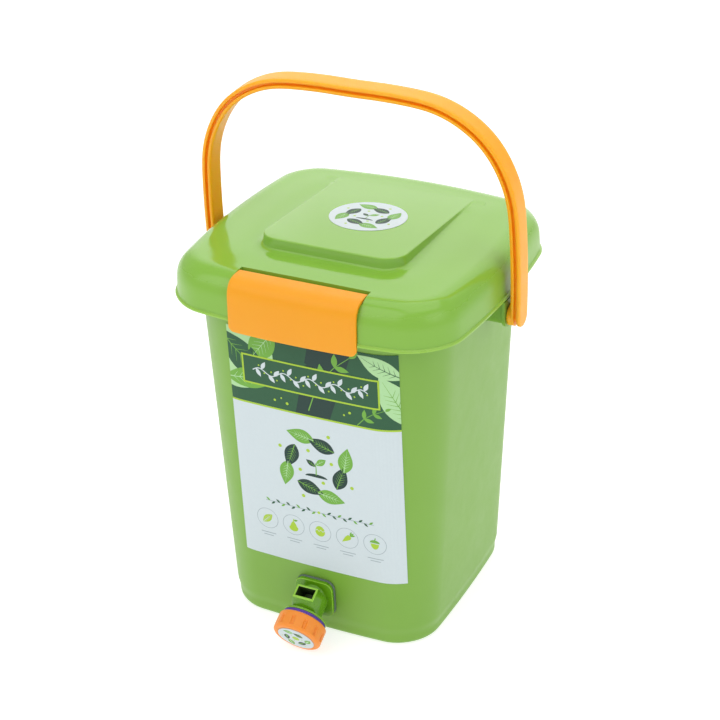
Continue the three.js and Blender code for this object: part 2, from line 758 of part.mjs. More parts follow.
// The latch seen from in front: straight stubs above, round lower corners.
function latchFrontOutline() {
  const half = latchWidth / 2;
  const out = half + latchStubReach + cutOverrun;
  const top = latchHingeHeight + latchBarrel + cutOverrun;
  const shoulder = latchHingeHeight - latchBarrel;
  const outline = new THREE.Shape();
  outline.moveTo(-half + latchCorner, latchBottom);
  outline.lineTo(half - latchCorner, latchBottom);
  outline.absarc(half - latchCorner, latchBottom + latchCorner, latchCorner, -quarter, 0, false);
  outline.lineTo(half, shoulder);
  outline.lineTo(out, shoulder);
  outline.lineTo(out, top);
  outline.lineTo(-out, top);
  outline.lineTo(-out, shoulder);
  outline.lineTo(-half, shoulder);
  outline.lineTo(-half, latchBottom + latchCorner);
  outline.absarc(-half + latchCorner, latchBottom + latchCorner, latchCorner, Math.PI, 3 * quarter, false);
  outline.closePath();
  const depth = latchFace + cutOverrun;
  return new THREE.ExtrudeGeometry(outline, { depth, bevelEnabled: false, curveSegments: cornerSteps })
    .rotateX(quarter);
}

// The drain grate: a drilled plate with a turned-down rim on four hollow legs.
function grate() {
  const inset = bucketWall + grateGap;
  const outline = new THREE.Shape(wallRing(inset, grateTop).map(({ x, y }) => new THREE.Vector2(x, y)));
  const middle = (grateRows - 1) / 2;
  for (let row = 0; row < grateRows; row++) {
    for (let column = 0; column < grateRows; column++) {
      const hole = new THREE.Path();
      const x = (column - middle) * gratePitch;
      const y = (row - middle) * gratePitch;
      hole.absarc(x, y, grateHole / 2, 0, 4 * quarter, true);
      outline.holes.push(hole);
    }
  }
  const plate = new THREE.ExtrudeGeometry(outline, {
    depth: grateThickness, bevelEnabled: false, curveSegments: 4
  }).translate(0, 0, grateTop - grateThickness);
  const rimTop = grateTop - grateThickness / 2;
  const rimBottom = grateTop - grateThickness - grateRimDrop;
  const rim = loft([
    wallRing(inset, rimBottom, rimBottom), wallRing(inset, rimTop, grateTop - grateThickness),
    wallRing(inset + grateRimWall, rimTop, grateTop - grateThickness),
    wallRing(inset + grateRimWall, rimBottom, rimBottom)
  ], null, true);
  let solid = joinedOf(plate, rim);
  const foot = floorThickness + seatGap;
  for (const sideX of [1, -1]) {
    for (const sideY of [1, -1]) {
      const leg = turnedRing([
        [grateLegRadius - grateLegWall, foot], [grateLegRadius, foot], [grateLegRadius, rimTop],
        [grateLegRadius - grateLegWall, rimTop]], smallSteps / 2);
      solid = solid.add(solidOf(leg.translate(sideX * grateLegSpread, sideY * grateLegSpread, 0)));
    }
  }
  return meshOf("drain_grate", solid, tapGreen);
}

// The tap's own frame: its Z runs out square to the sloping front wall, its Y up the wall.
const wallLean = Math.atan((mouthDepth - baseDepth) / 2 / ledgeHeight);
const tapMatrix = new THREE.Matrix4().makeRotationX(quarter + wallLean);
tapMatrix.setPosition(0, -wallAt(tapHeight)[1], tapHeight);
const flangeFront = seatGap + gasketThickness + seatGap + flangeThickness;
const barrelMatrix = new THREE.Matrix4().makeRotationX(barrelTilt);
barrelMatrix.setPosition(0, 0, flangeFront);

function inTapFrame(geometry) {
  return geometry.applyMatrix4(tapMatrix);
}

function tapHole() {
  return turned([[tailRadius + seatGap, -bucketWall - cutOverrun], [tailRadius + seatGap, cutOverrun]]);
}

function tapFrame() {
  const group = new THREE.Group();
  group.applyMatrix4(tapMatrix);
  return group;
}

function barrelFrame() {
  const group = new THREE.Group();
  group.applyMatrix4(barrelMatrix);
  return group;
}

// A square plate with round corners and a round hole.
function squareWasher(size, corner, thickness, bore, z) {
  const half = size / 2;
  const ring = bowedRing(half, half, corner, 0, 0);
  const outline = new THREE.Shape(ring.map(({ x, y }) => new THREE.Vector2(x, y)));
  if (bore > 0) {
    const hole = new THREE.Path();
    hole.absarc(0, 0, bore, 0, 4 * quarter, true);
    outline.holes.push(hole);
  }
  return new THREE.ExtrudeGeometry(outline, {
    depth: thickness, bevelEnabled: false, curveSegments: smallSteps / 2
  }).translate(0, 0, z);
}

// Flange, threaded tail, barrel, collar and open spout, bored through from tail to spout.
function tapBody() {
  const flangeBack = flangeFront - flangeThickness;
  const flange = squareWasher(flangeSize, flangeCorner, flangeThickness, 0, flangeBack);
  const tail = turned([[tailRadius, -bucketWall - tailLength], [tailRadius, flangeFront - flangeThickness / 2]]);
  const hull = [];
  for (const z of [0, barrelLength + collarThickness / 2]) {
    hull.push(...circleRing(barrelRadius, z));
  }
  for (const sideX of [1, -1]) {
    for (const sideZ of [1, -1]) {
      hull.push(new THREE.Vector3(sideX * mouthSpan / 2, mouthRise, mouthSet + sideZ * mouthGap / 2));
    }
  }
  const block = new ConvexGeometry(hull).applyMatrix4(barrelMatrix);
  const rootRadius = barrelRadius - barrelRootInset;
  const root = turned([[rootRadius, -barrelRadius], [rootRadius, barrelLength / 2]])
    .applyMatrix4(barrelMatrix);
  const front = box(2 * flangeSize, 2 * flangeSize, 2 * flangeSize, 0, 0, flangeBack + flangeSize);
  const collar = turned([[collarRadius, barrelLength], [collarRadius, barrelLength + collarThickness]])
    .applyMatrix4(barrelMatrix);
  const outer = joinedOf(block, root).intersect(solidOf(front)).add(joinedOf(flange, tail, collar));
  const bore = turned([[barrelBore, barrelFloor], [barrelBore, barrelLength + collarThickness + cutOverrun]])
    .applyMatrix4(barrelMatrix);
  const throat = box(
    mouthSpan - 2 * spoutWall, mouthRise + cutOverrun, mouthGap - 2 * spoutWall,
    0, (mouthRise + cutOverrun) / 2, mouthSet).applyMatrix4(barrelMatrix);
  const inlet = turned([
    [inletRadius, -bucketWall - tailLength - cutOverrun], [inletRadius, flangeFront + barrelFloor + cutOverrun]]);
  const solid = outer.subtract(solidOf(bore)).subtract(solidOf(throat)).subtract(solidOf(inlet));
  return meshOf("tap_body", solid, tapGreen);
}

function tapGasket() {
  const gasket = squareWasher(gasketSize, gasketCorner, gasketThickness, tailRadius + seatGap, seatGap);
  return meshOf("tap_gasket", gasket, greyRubber);
}

const washerFront = -bucketWall - seatGap;

function tapWasher() {
  const back = washerFront - washerThickness;
  const washer = turnedRing([
    [tailRadius + seatGap, back], [washerRadius, back], [washerRadius, washerFront],
    [tailRadius + seatGap, washerFront]]);
  return meshOf("tap_washer", washer, greyRubber);
}

function tapNut() {
  const front = washerFront - washerThickness - seatGap;
  const corner = nutAcross / 2 / Math.cos(quarter / 3);
  const hexagon = turned([[corner, front - nutThickness], [corner, front]], 6);
  const hole = turned([
    [tailRadius + seatGap, front - nutThickness - cutOverrun], [tailRadius + seatGap, front + cutOverrun]]);
  return meshOf("tap_nut", solidOf(hexagon).subtract(solidOf(hole)), tapGreen);
}

const collarFront = barrelLength + collarThickness;
const ringBack = collarFront + seatGap;
const knobBack = ringBack + ringThickness + seatGap;
const knobFace = knobBack + knobLength;

// The valve: a hollow plug with a side window, closed off from the spout as it stands.
function valvePlug() {
  const radius = barrelBore - plugClear;
  const back = barrelFloor + seatGap;
  const plug = turned([[radius, back], [radius, collarFront]]);
  const hollow = turned([[plugBore, back - cutOverrun], [plugBore, plugHollow]], smallSteps);
  const windowMiddle = back + plugWindowLength / 2 + spoutWall / 2;
  const side = box(radius + cutOverrun, plugBore * 2, plugWindowLength, (radius + cutOverrun) / 2, 0, windowMiddle);
  const stem = turned([[stemRadius, plugHollow + seatGap], [stemRadius, knobBack + stemLength]], smallSteps);
  const solid = joinedOf(plug, stem).subtract(solidOf(hollow)).subtract(solidOf(side));
  return meshOf("valve_plug", solid, tapGreen);
}

function knobRing() {
  const inner = barrelBore + seatGap;
  const top = ringBack + ringThickness;
  const ring = turnedRing([[inner, ringBack], [ringRadius, ringBack], [ringRadius, top], [inner, top]]);
  return meshOf("knob_seal_ring", ring, violetRubber);
}

// The knob: a cup with a hub on the stem and grip notches round its side.
function knob() {
  const cup = turned([
    [knobRadius - knobBackEdge, knobBack], [knobRadius, knobBack + knobBackEdge],
    [knobRadius, knobFace - knobChamfer], [knobRadius - knobChamfer, knobFace]]);
  const hollow = turned([
    [knobRadius - knobWall, knobBack - cutOverrun], [knobRadius - knobWall, knobFace - 2 * knobWall]]);
  const hub = turned([
    [stemRadius + seatGap + knobHubWall, knobBack + seatGap],
    [stemRadius + seatGap + knobHubWall, knobFace - knobWall]], smallSteps);
  const socket = turned([
    [stemRadius + seatGap, knobBack - cutOverrun], [stemRadius + seatGap, knobBack + stemLength + seatGap]],
    smallSteps);
  let solid = solidOf(cup).subtract(solidOf(hollow)).add(solidOf(hub)).subtract(solidOf(socket));
  for (let k = 0; k < knobGrips; k++) {
    const turn = (k / knobGrips) * 4 * quarter;
    solid = solid.subtract(solidOf(gripCutter().rotateZ(turn)));
  }
  return meshOf("tap_knob", solid, knobOrange);
}

// A slim capsule that sinks a grip notch into the knob's side.
function gripCutter() {
  const low = knobFace - gripStart - gripLength;
  const high = knobFace - gripStart;
  const slope = Math.SQRT1_2;
  return turned([
    [gripRadius * (1 - slope), low], [gripRadius, low + gripRadius], [gripRadius, high - gripRadius],
    [gripRadius * (1 - slope), high]], gripSteps)
    .translate(knobRadius + gripRadius - gripDepth, 0, 0);
}

function knobDisc() {
  const disc = turned([[knobDiscRadius, knobFace + seatGap], [knobDiscRadius, knobFace + seatGap + labelThickness]]);
  return meshOf("knob_sticker", disc, paperWhite);
}

// The sheet on the front wall, which reaches round the start of the right corner.
function frontLabel() {
  const hullOff = (off) => solidOf(loft([wallRing(-off, baseEdge), wallRing(-off, ledgeHeight)]));
  const sheet = hullOff(seatGap + labelThickness).subtract(hullOff(seatGap));
  const deep = baseDepth;
  const window = box(
    labelWidth, deep, labelTop - labelBottom, labelShift, -deep / 2, (labelTop + labelBottom) / 2);
  return meshOf("front_label", sheet.intersect(solidOf(window)), paperWhite);
}

function lidDisc() {
  const slope = Math.atan((wedgeTopAt(wedgeFront) - wedgeTopAt(wedgeBack)) / (wedgeBack - wedgeFront));
  const mesh = meshOf("lid_sticker", turned([[lidDiscRadius, seatGap], [lidDiscRadius, seatGap + labelThickness]]),
    paperWhite);
  mesh.position.set(0, lidDiscDepth, wedgeTopAt(lidDiscDepth));
  mesh.rotation.x = -slope;
  return mesh;
}

function tap() {
  const group = tapFrame();
  const barrel = barrelFrame();
  barrel.add(valvePlug(), knobRing(), knob(), knobDisc());
  group.add(tapBody(), tapGasket(), tapWasher(), tapNut(), barrel);
  return group;
}

const bin = new THREE.Group();
bin.add(bucket(), grate(), frontLabel());
bin.add(lid(), lidSeal(), lidDisc(), latch());
bin.add(bail());
bin.add(tap());

export default bin;
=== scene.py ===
"""Looks for the kitchen compost bin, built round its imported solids.

The script works in millimetres and scales each finished piece to metres. +Z is up, the
origin is in the middle of the base, and the front, with latch, label and tap, faces -Y.
"""

import bisect
import math

import bmesh
import bpy
from mathutils import Matrix, Vector


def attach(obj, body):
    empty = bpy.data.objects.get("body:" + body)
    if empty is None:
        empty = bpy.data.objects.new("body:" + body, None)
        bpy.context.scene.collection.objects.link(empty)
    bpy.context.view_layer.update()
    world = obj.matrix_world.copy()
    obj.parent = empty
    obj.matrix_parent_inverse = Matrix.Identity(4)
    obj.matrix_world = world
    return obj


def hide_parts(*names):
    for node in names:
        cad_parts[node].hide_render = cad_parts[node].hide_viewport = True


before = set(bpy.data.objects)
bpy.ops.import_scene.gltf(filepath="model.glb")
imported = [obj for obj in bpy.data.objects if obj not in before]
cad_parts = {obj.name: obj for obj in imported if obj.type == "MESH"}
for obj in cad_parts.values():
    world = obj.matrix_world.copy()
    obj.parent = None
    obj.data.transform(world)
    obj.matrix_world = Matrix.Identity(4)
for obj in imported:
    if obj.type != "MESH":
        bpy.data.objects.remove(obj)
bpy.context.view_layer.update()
MM = 0.001
QUARTER = math.pi / 2
SEAT = 0.3  # between pieces that rest on each other
RUNNING = 0.6  # between pieces that turn past each other
CUT = 2.0  # how far a cutter reaches past what it cuts

# The camera: focal length and image width in pixels, and where it stands
FOCAL_PX = 1882.97
IMAGE_PX = 720
SENSOR = 36
CAMERA_DISTANCE = 1575.63
CAMERA_AZIMUTH = 26.55
CAMERA_ELEVATION = 28.73
CAMERA_ROLL = -1.59
CAMERA_TARGET = (-3.9, 0.0, 209.48)

# The studio, in metres. For each light it holds place, aim, size and watts
LIGHTS = {
    "key": ((-1.5, -2.4, 3.2), (0, 0, 0.2), (3.4, 3.4), 50),
    "top": ((0.2, 0.3, 2.6), (0, 0, 0.3), (2.4, 2.0), 19),
    "side": ((3.9, -0.9, 2.5), (0, 0, 0.2), (2.6, 2.6), 27),
}
FLOOR_HALF = 6.0
SKY = 0.62
SKY_BRIGHT = 1.66  # the strength of the part that the lid mirrors
SKY_TOWARDS = (-0.2, 0.9, 0.387)  # where that part lies
SKY_EDGE = 0.7  # the cosine of the angle from its middle to its edge
SKY_FULL = 0.97  # and to where it is full

# Materials. Most of these say how far across a pattern is
FLOW = 70
GRAIN = 0.9
SCUFF = 18
BLOOM = 9
RUBBER_GRAIN = 0.6
MOTTLE = 2.5
WAVES = 35
LEAFY = (0.6, 1.0, 0.25)  # how far red, green and blue go under a green skin
WARM = (1.0, 0.42, 0.06)  # and under an orange one
LID_MATT = (318, 329, 0.2)  # two heights, and the roughness added as the lid falls past them

# Bucket. BASE and MOUTH hold width, depth and corner radius, at the floor and at the ledge
BASE = (191.0, 196.0, 36.0)
MOUTH = (219.2, 223.4, 51.0)
LEDGE = 290.0
WALL_BOW = 3.5
WALL = 2.4
FLOOR = 3.0
BASE_EDGE = 5.0
UNDERSIDE = [(26, 1.0), (24, 0.9), (23, 0.0)]  # inset and height of the hollow underneath
WALL_HEIGHTS = (80, 150, 220)
RIM_TOP = 312.5
RIM_FOOT = LEDGE + 6
RIM_INSET = 7.6
RIM_EDGE = 0.8
RIM_CHAMFER = 0.25

# The bend above the bucket's foot, which the solids don't have
FOOT_TOP = 19.0
FOOT_BOTTOM = 9.0
FOOT_INSET = 1.3
FOOT_DROP = 5.0  # inside the wall it lies this much lower
FOOT_HEIGHTS = range(7, 21)
INNER_FOOT_HEIGHTS = range(16, 7, -1)

# Lid. LID holds width, depth and corner radius
LID = (258.0, 252.2, 38.0)
LID_BOW = 11.0
SKIRT = 295.0
SKIRT_INSET = 2.1
SKIRT_DRAFT = 0.6
LIP_REACH = 1.5
LIP_HEIGHT = 1.8
LIP_FOOT = [(0.5, 0), (0.15, 0.12), (0, 0.5)]  # inset, and height over the skirt's edge
LIP_HEAD = [(0, -0.6), (0.15, -0.2), (0.7, 0.2), (LIP_REACH, 0.7)]  # and over the lip
SHOULDER = 309.0
SHOULDER_REACH = 18.0
SHOULDER_RISE = 21.0
SHOULDER_MID = LID[1] / 2 - SKIRT_INSET - SHOULDER_REACH
LID_TOP = SHOULDER + SHOULDER_RISE
CROWN_RISE = 1.0
CROWN_REACH = 28.0
CROWN_TOP = LID_TOP + CROWN_RISE
SEAL_THICK = 3.5
PLUG_INSET = RIM_INSET + WALL + SEAT + SEAL_THICK + SEAT
PLUG_SECTION = [(0, 301), (-1.5, 301.75), (-1.5, 303.2), (0, 303.2), (0, 308.8),
                (-1.5, 308.8), (-1.5, 310.3), (0, 311.8), (0, 322.8), (2, 328.8), (2, 301)]
# The ribs that sit on the rim: where they are along each side, in quarter turns from +X
SEAT_RIBS = {0: (-60, 0, 60), 2: (-60, 0, 60), 1: (-60, 0, 60), 3: (-76, 76)}
SEAT_RIB_HALF = 0.8
SEAT_RIB_TOP = 321.6
SEAT_RIB_END = LIP_REACH + WALL / 2 + 4  # from the lid's outline

# Raised wedge, with a cove round its foot. The shares are of its height
WEDGE_WIDTH = 123.0
WEDGE_FRONT = -62.5
WEDGE_BACK = 88.0
WEDGE_TOP = 340.8
WEDGE_SINK = 0.25  # its top runs down to this far under the crown
WEDGE_ROOT = 1.2
WEDGE_CORNER = 18.0
WEDGE_BACK_CORNER = 4
COVE_REACH = 12
COVE_RUN = 10.8
COVE_SINK = 0.3
COVE_SHARE = 0.24
WEDGE_SPREAD = 0.3
WEDGE_EDGE = 1.3
WEDGE_EDGE_FROM = 0.88
WEDGE_EDGE_SHARE = 0.12

# Latch, and the pocket for it in the lid. LATCH_PIN holds y and z
LATCH_WIDTH = 110.0
LATCH_BOTTOM = 287.0
LATCH_WALL = 2.4
LATCH_FACE = LID[1] / 2 + 0.4
LATCH_PIN = (-103.0, 325.5)
LATCH_BEND = 3.2
LATCH_BARREL = 4.2
LATCH_GAP = 0.6
LATCH_HEEL = 1.5
LATCH_CORNER = 5.0
LATCH_STUB = 1.9
LATCH_STUB_REACH = 1.8
CATCH_CLEAR = 0.7
CATCH_RISE = 6.4
CATCH_EDGE = 0.75
CATCH_HEIGHT = 3
CATCH_HALF = 35.0
CATCH_ROOT = 1.2
POCKET_WALL = 2.0
POCKET_FRONT = 3
SOCKET_RADIUS = 2.2
SOCKET_REACH = 4.6
WINDOW_FRONT = -132
WINDOW_RISE = 3

# Bail. BAIL_PIVOT holds y and z, and BAIL_COURSE shares of the half width and the rise
BAIL_PIVOT = (2.5, 279.0)
BAIL_HALF = 133.25
BAIL_RISE = 173.4
BAIL_LEAN = math.radians(2.57)
BAIL_WIDE = 18.0
BAIL_THICK = 8.5
BAIL_GROOVE = 2.8
BAIL_GROOVE_DEPTH = 3.6
BAIL_EDGE = 1.5
BAIL_LIP = 0.35
BAIL_COURSE = [(1.022, 0), (1.026, 0.127), (1.022, 0.38), (0.99, 0.628), (0.838, 0.845),
               (0.578, 0.972), (0.272, 1.0), (0, 0.999)]
BAIL_STEPS = 140
BAIL_SMOOTHING = 60
BAIL_INNER = BAIL_HALF - BAIL_THICK / 2
BAIL_PAD = 9
BAIL_STUB = 4.5
BAIL_HEAD = 5.8

# The two bosses that carry the bail
BOSS_FACE = BAIL_INNER - RUNNING
BOSS_PLATE = 2.5
BOSS_RADIUS = 9.5
BOSS_PLATE_RADIUS = 10.7
BOSS_SINK = 1.2
BOSS_TOP = LEDGE + 3
BOSS_ROOT = 112.0
BOSS_HOLLOW = 7.3
BOSS_OPENING = 11.5
BOSS_HOLE = 4.85

# Tap. FLANGE_OUTER and COLLAR_EDGE tell its outer edges from its inner ones
TAP_HEIGHT = 37.6
TAP_HOLE = 9.8
FLANGE_FRONT = 5.8
FLANGE_OUTER = 14
BARREL_TILT = math.radians(25)
BARREL_LENGTH = 19
COLLAR_THICK = 1.6
COLLAR_EDGE = 18.5
SPOUT_SET = 6.4
SPOUT_HALF = 7.9
SPOUT_GAP = 4.4
# Painted highlight reaches SPOUT_RIM out round the spout's mouth
SPOUT_RIM = 2
# Painted shade lines the spout's throat past SPOUT_ROOT
SPOUT_ROOT = 3
SPOUT_RISE = 19.9
TAP_SHARP = math.radians(38)
TAP_EDGE = 0.5
RING_BACK = BARREL_LENGTH + COLLAR_THICK + SEAT
RING_THICK = 2.6
KNOB_BACK = RING_BACK + RING_THICK + SEAT
KNOB_LENGTH = 15.6
KNOB_FACE = KNOB_BACK + KNOB_LENGTH
KNOB_RADIUS = 20.8
KNOB_ROWS = 18
NOTCHES = 12
NOTCH_HALF = 1.0
NOTCH_EASE = 0.7
NOTCH_DEPTH = 1.2
NOTCH_START = 11.2
NOTCH_END = 2.6

# Label and stickers. The divider parts the label's header from the rest
LABEL_LEFT = -65.9
LABEL_WIDTH = 147.6
LABEL_BOTTOM = 65.7
LABEL_HEIGHT = 218.3
LABEL_DIVIDER = 150.6
LABEL_MIDDLE = 72.8
LABEL_OFF = 0.42
DIVIDER_LINE = 1.6
PRINT_STEP = 0.03  # from one layer of print to the next
DISC_RADIUS = 32.0
DISC_DEPTH = 14.4
DISC_OFF = 0.04
DISC_FILM = 10  # layers of print that its thickness comes to
DISC_EDGE = 0.29
KNOB_DISC_RADIUS = 16.0
KNOB_DISC_OFF = 0.02


def lerp(a, b, share):
    return a + (b - a) * share


def smooth(share):
    share = min(max(share, 0.0), 1.0)
    return share * share * (3 - 2 * share)


def turns(steps, quarters=1):
    """Even steps from nought through a number of quarter turns, both ends included."""
    return [k / steps * quarters * QUARTER for k in range(steps + 1)]


def bowed_ring(half_x, half_y, corner, bow, z, corner_steps=12, side_steps=14):
    """A rectangle with round corners and slightly bowed sides."""
    ends = [(1, 1), (-1, 1), (-1, -1), (1, -1)]
    flat = []
    for index, (x, y) in enumerate(ends):
        next_x, next_y = ends[(index + 1) % 4]
        for k in range(corner_steps + side_steps):
            share = max(k - corner_steps, 0) / side_steps
            turn = (index + min(k / corner_steps, 1)) * QUARTER
            flat.append((lerp(x, next_x, share) * (half_x - corner) + corner * math.cos(turn),
                         lerp(y, next_y, share) * (half_y - corner) + corner * math.sin(turn)))
    return [bowed(x, y, half_x, half_y, bow, z) for x, y in flat]


def bowed(x, y, half_x, half_y, bow, z):
    new_y = y * (1 - bow / half_y * (x / half_x) ** 2)
    return Vector((x * (1 - bow / half_x * (new_y / half_y) ** 2), new_y, z))


def wall_sizes(z):
    """Half width, half depth and corner radius of the bucket's wall at a height."""
    share = z / LEDGE
    return [lerp(a, b, share) / divide for a, b, divide in zip(BASE, MOUTH, (2, 2, 1))]


def wall_ring(inset, z, sizes_at=None):
    half_x, half_y, corner = wall_sizes(z if sizes_at is None else sizes_at)
    return bowed_ring(half_x - inset, half_y - inset, corner - inset, WALL_BOW, z)


def foot_ring(inset, z, drop=0.0):
    """The wall where it draws in to its upright foot."""
    share = smooth((z + drop - FOOT_BOTTOM) / (FOOT_TOP - FOOT_BOTTOM))
    return wall_ring(inset + FOOT_INSET * (1 - share), z, max(z, FOOT_BOTTOM))


def lid_ring(inset, z):
    corner = max(LID[2] - inset, LID[2] / 3)
    return bowed_ring(LID[0] / 2 - inset, LID[1] / 2 - inset, corner, LID_BOW, z)


def loop_of(bm, points):
    verts = [bm.verts.new(point) for point in points]
    return [bm.edges.new(pair) for pair in zip(verts, verts[1:] + verts[:1])]


def skinned(rings, endless=False):
    """Closed rings bridged one to the next, with filled ends unless the skin is endless."""
    bm = bmesh.new()
    loops = [loop_of(bm, ring) for ring in rings]
    for low, high in zip(loops, loops[1:]):
        bmesh.ops.bridge_loops(bm, edges=low + high)
    if endless:
        bmesh.ops.bridge_loops(bm, edges=loops[-1] + loops[0])
    else:
        bmesh.ops.edgeloop_fill(bm, edges=loops[0])
        bmesh.ops.edgeloop_fill(bm, edges=loops[-1])
    return bm


def moved(bm, matrix):
    bmesh.ops.transform(bm, matrix=matrix, verts=bm.verts)
    return bm


def circle(radius, z, steps=64):
    return [Vector((radius * math.cos(turn), radius * math.sin(turn), z))
            for turn in turns(steps, 4)[:-1]]


def bar_along_x(profile, middle, steps=48):
    """A turned bar along X from pairs of radius and x, round a pivot at (y, z)."""
    y, z = middle
    return skinned([[Vector((x, y + p.x, z + p.y)) for p in circle(radius, 0, steps)]
                    for radius, x in profile])


def prism_along_x(outline, stations, bend=None):
    """An outline in Y and Z drawn along X, each point moved by bend(point) if given."""
    rings = [[Vector((x, y, z)) for y, z in outline] for x in stations]
    if bend:
        rings = [[bend(point) for point in ring] for ring in rings]
    return skinned(rings)


def trough(middle, radius, top, steps):
    """An outline that is round below a middle at (y, z) and straight above it."""
    y, z = middle
    arc = [(y - radius * math.cos(turn), z - radius * math.sin(turn)) for turn in turns(steps, 2)]
    return arc + [(y + radius, top), (y - radius, top)]


def spun(profile, steps):
    """A profile of pairs of radius and height turned once round the Z axis."""
    bm = bmesh.new()
    verts = [bm.verts.new((radius, 0, z)) for radius, z in profile]
    edges = [bm.edges.new(pair) for pair in zip(verts, verts[1:])]
    bmesh.ops.spin(bm, geom=verts + edges, cent=(0, 0, 0), axis=(0, 0, 1), dvec=(0, 0, 0),
                   angle=4 * QUARTER, steps=steps, use_merge=True, use_duplicate=False)
    bmesh.ops.remove_doubles(bm, verts=bm.verts, dist=0.0005)
    return bm


def mesh_from(bm, name):
    mesh = bpy.data.meshes.new(name)
    bm.to_mesh(mesh)
    bm.free()
    return mesh


def closed_mesh_from(bm, name):
    bmesh.ops.recalc_face_normals(bm, faces=bm.faces)
    return mesh_from(bm, name)


def placed(data, name):
    piece = bpy.data.objects.new(name, data)
    bpy.context.scene.collection.objects.link(piece)
    return piece


def baked(piece):
    """The mesh of a piece with its modifiers applied. The piece itself is removed."""
    graph = bpy.context.evaluated_depsgraph_get()
    mesh = bpy.data.meshes.new_from_object(piece.evaluated_get(graph))
    bpy.data.objects.remove(piece)
    return mesh


def carved(bm, tools, operation):
    """The body with each tool joined to it or cut out of it."""
    body = placed(closed_mesh_from(bm, "body"), "body")
    others = [placed(closed_mesh_from(tool, "tool"), "tool") for tool in tools]
    for other in others:
        modifier = body.modifiers.new("cut", "BOOLEAN")
        modifier.operation = operation
        modifier.solver = "EXACT"
        modifier.object = other
    mesh = baked(body)
    for other in others:
        bpy.data.objects.remove(other)
    result = bmesh.new()
    result.from_mesh(mesh)
    return result


def hung(piece, body, node):
    """Hangs a piece on its body, in place of a solid, which is hidden."""
    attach(piece, body)
    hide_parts(node)
    return piece


def finished(bm, name, body, node, materials, sharp, edge=0.0):
    """Scales a piece to metres, rounds its edges, and hangs it on its body."""
    bmesh.ops.remove_doubles(bm, verts=bm.verts, dist=0.002)
    bmesh.ops.dissolve_degenerate(bm, dist=0.001, edges=bm.edges)
    bmesh.ops.scale(bm, vec=(MM, MM, MM), verts=bm.verts)
    piece = placed(closed_mesh_from(bm, name), name)
    for material in materials:
        piece.data.materials.append(material)
    if edge:
        modifier = piece.modifiers.new("edge", "BEVEL")
        modifier.width = edge * MM
        modifier.segments = 2
        modifier.limit_method = "ANGLE"
        modifier.angle_limit = math.radians(sharp)
        piece = placed(baked(piece), name)
    for polygon in piece.data.polygons:
        polygon.use_smooth = True
    piece.data.set_sharp_from_angle(angle=math.radians(sharp))
    return hung(piece, body, node)


def linear(colour):
    """A hex sRGB colour as linear light."""
    channels = [int(colour[k:k + 2], 16) / 255 for k in (1, 3, 5)]
    return [c / 12.92 if c <= 0.04045 else ((c + 0.055) / 1.055) ** 2.4 for c in channels] + [1]


def add_node(tree, kind, values=None, **settings):
    """Adds a node: settings are its own, values go to its inputs, as constants or links."""
    node = tree.nodes.new(kind)
    for name, setting in settings.items():
        setattr(node, name, setting)
    for socket, value in (values or {}).items():
        if isinstance(value, bpy.types.NodeSocket):
            tree.links.new(value, node.inputs[socket])
        else:
            node.inputs[socket].default_value = value
    return node


def new_material(name):
    """A material without nodes, and its tree."""
    material = bpy.data.materials.new(name)
    material.use_nodes = True
    material.node_tree.nodes.clear()
    return material, material.node_tree


def moulded_polypropylene(name, colour, deep, roughness, depth=0.02, glow=0.06, scatter=LEAFY,
                          reach=3.0, shine=0.5, matt_below=None):
    """Injection moulded polypropylene: satin, a fine even grain from the tool, colour that
    clouds very slightly where the melt flowed, and a little light under its skin. A tool
    that is polished only at its top leaves the piece matter below a height."""
    material, tree = new_material(name)
    where = add_node(tree, "ShaderNodeTexCoord").outputs["Object"]
    flow = add_node(tree, "ShaderNodeTexNoise", {
        "Vector": where, "Scale": 1 / (FLOW * MM), "Detail": 3.0, "Roughness": 0.5})
    tint = add_node(tree, "ShaderNodeMix", {
        0: flow.outputs["Fac"], 6: linear(colour), 7: linear(deep)}, data_type="RGBA")
    grain = add_node(tree, "ShaderNodeTexNoise", {
        "Vector": where, "Scale": 1 / (GRAIN * MM), "Detail": 4.0, "Roughness": 0.6})
    bump = add_node(tree, "ShaderNodeBump", {
        "Strength": 0.35, "Distance": depth * MM, "Height": grain.outputs["Fac"]})
    scuff = add_node(tree, "ShaderNodeTexNoise", {
        "Vector": where, "Scale": 1 / (SCUFF * MM), "Detail": 6.0, "Roughness": 0.7})
    dull = add_node(tree, "ShaderNodeMapRange", {
        "Value": scuff.outputs["Fac"], "From Min": 0.3, "From Max": 0.7,
        "To Min": roughness - 0.04, "To Max": roughness + 0.05}).outputs["Result"]
    if matt_below:
        low, high, added = matt_below
        height = add_node(tree, "ShaderNodeSeparateXYZ", {"Vector": where}).outputs["Z"]
        more = add_node(tree, "ShaderNodeMapRange", {
            "Value": height, "From Min": low * MM, "From Max": high * MM, "To Min": added,
            "To Max": 0.0}, interpolation_type="SMOOTHSTEP").outputs["Result"]
        dull = add_node(tree, "ShaderNodeMath", {0: dull, 1: more},
                        operation="ADD").outputs["Value"]
    shader = add_node(tree, "ShaderNodeBsdfPrincipled", {
        "Base Color": tint.outputs[2], "Roughness": dull, "IOR": 1.49,
        "Specular IOR Level": shine, "Normal": bump.outputs["Normal"],
        "Subsurface Weight": glow, "Subsurface Radius": scatter, "Subsurface Scale": reach * MM})
    add_node(tree, "ShaderNodeOutputMaterial", {"Surface": shader.outputs["BSDF"]})
    return material


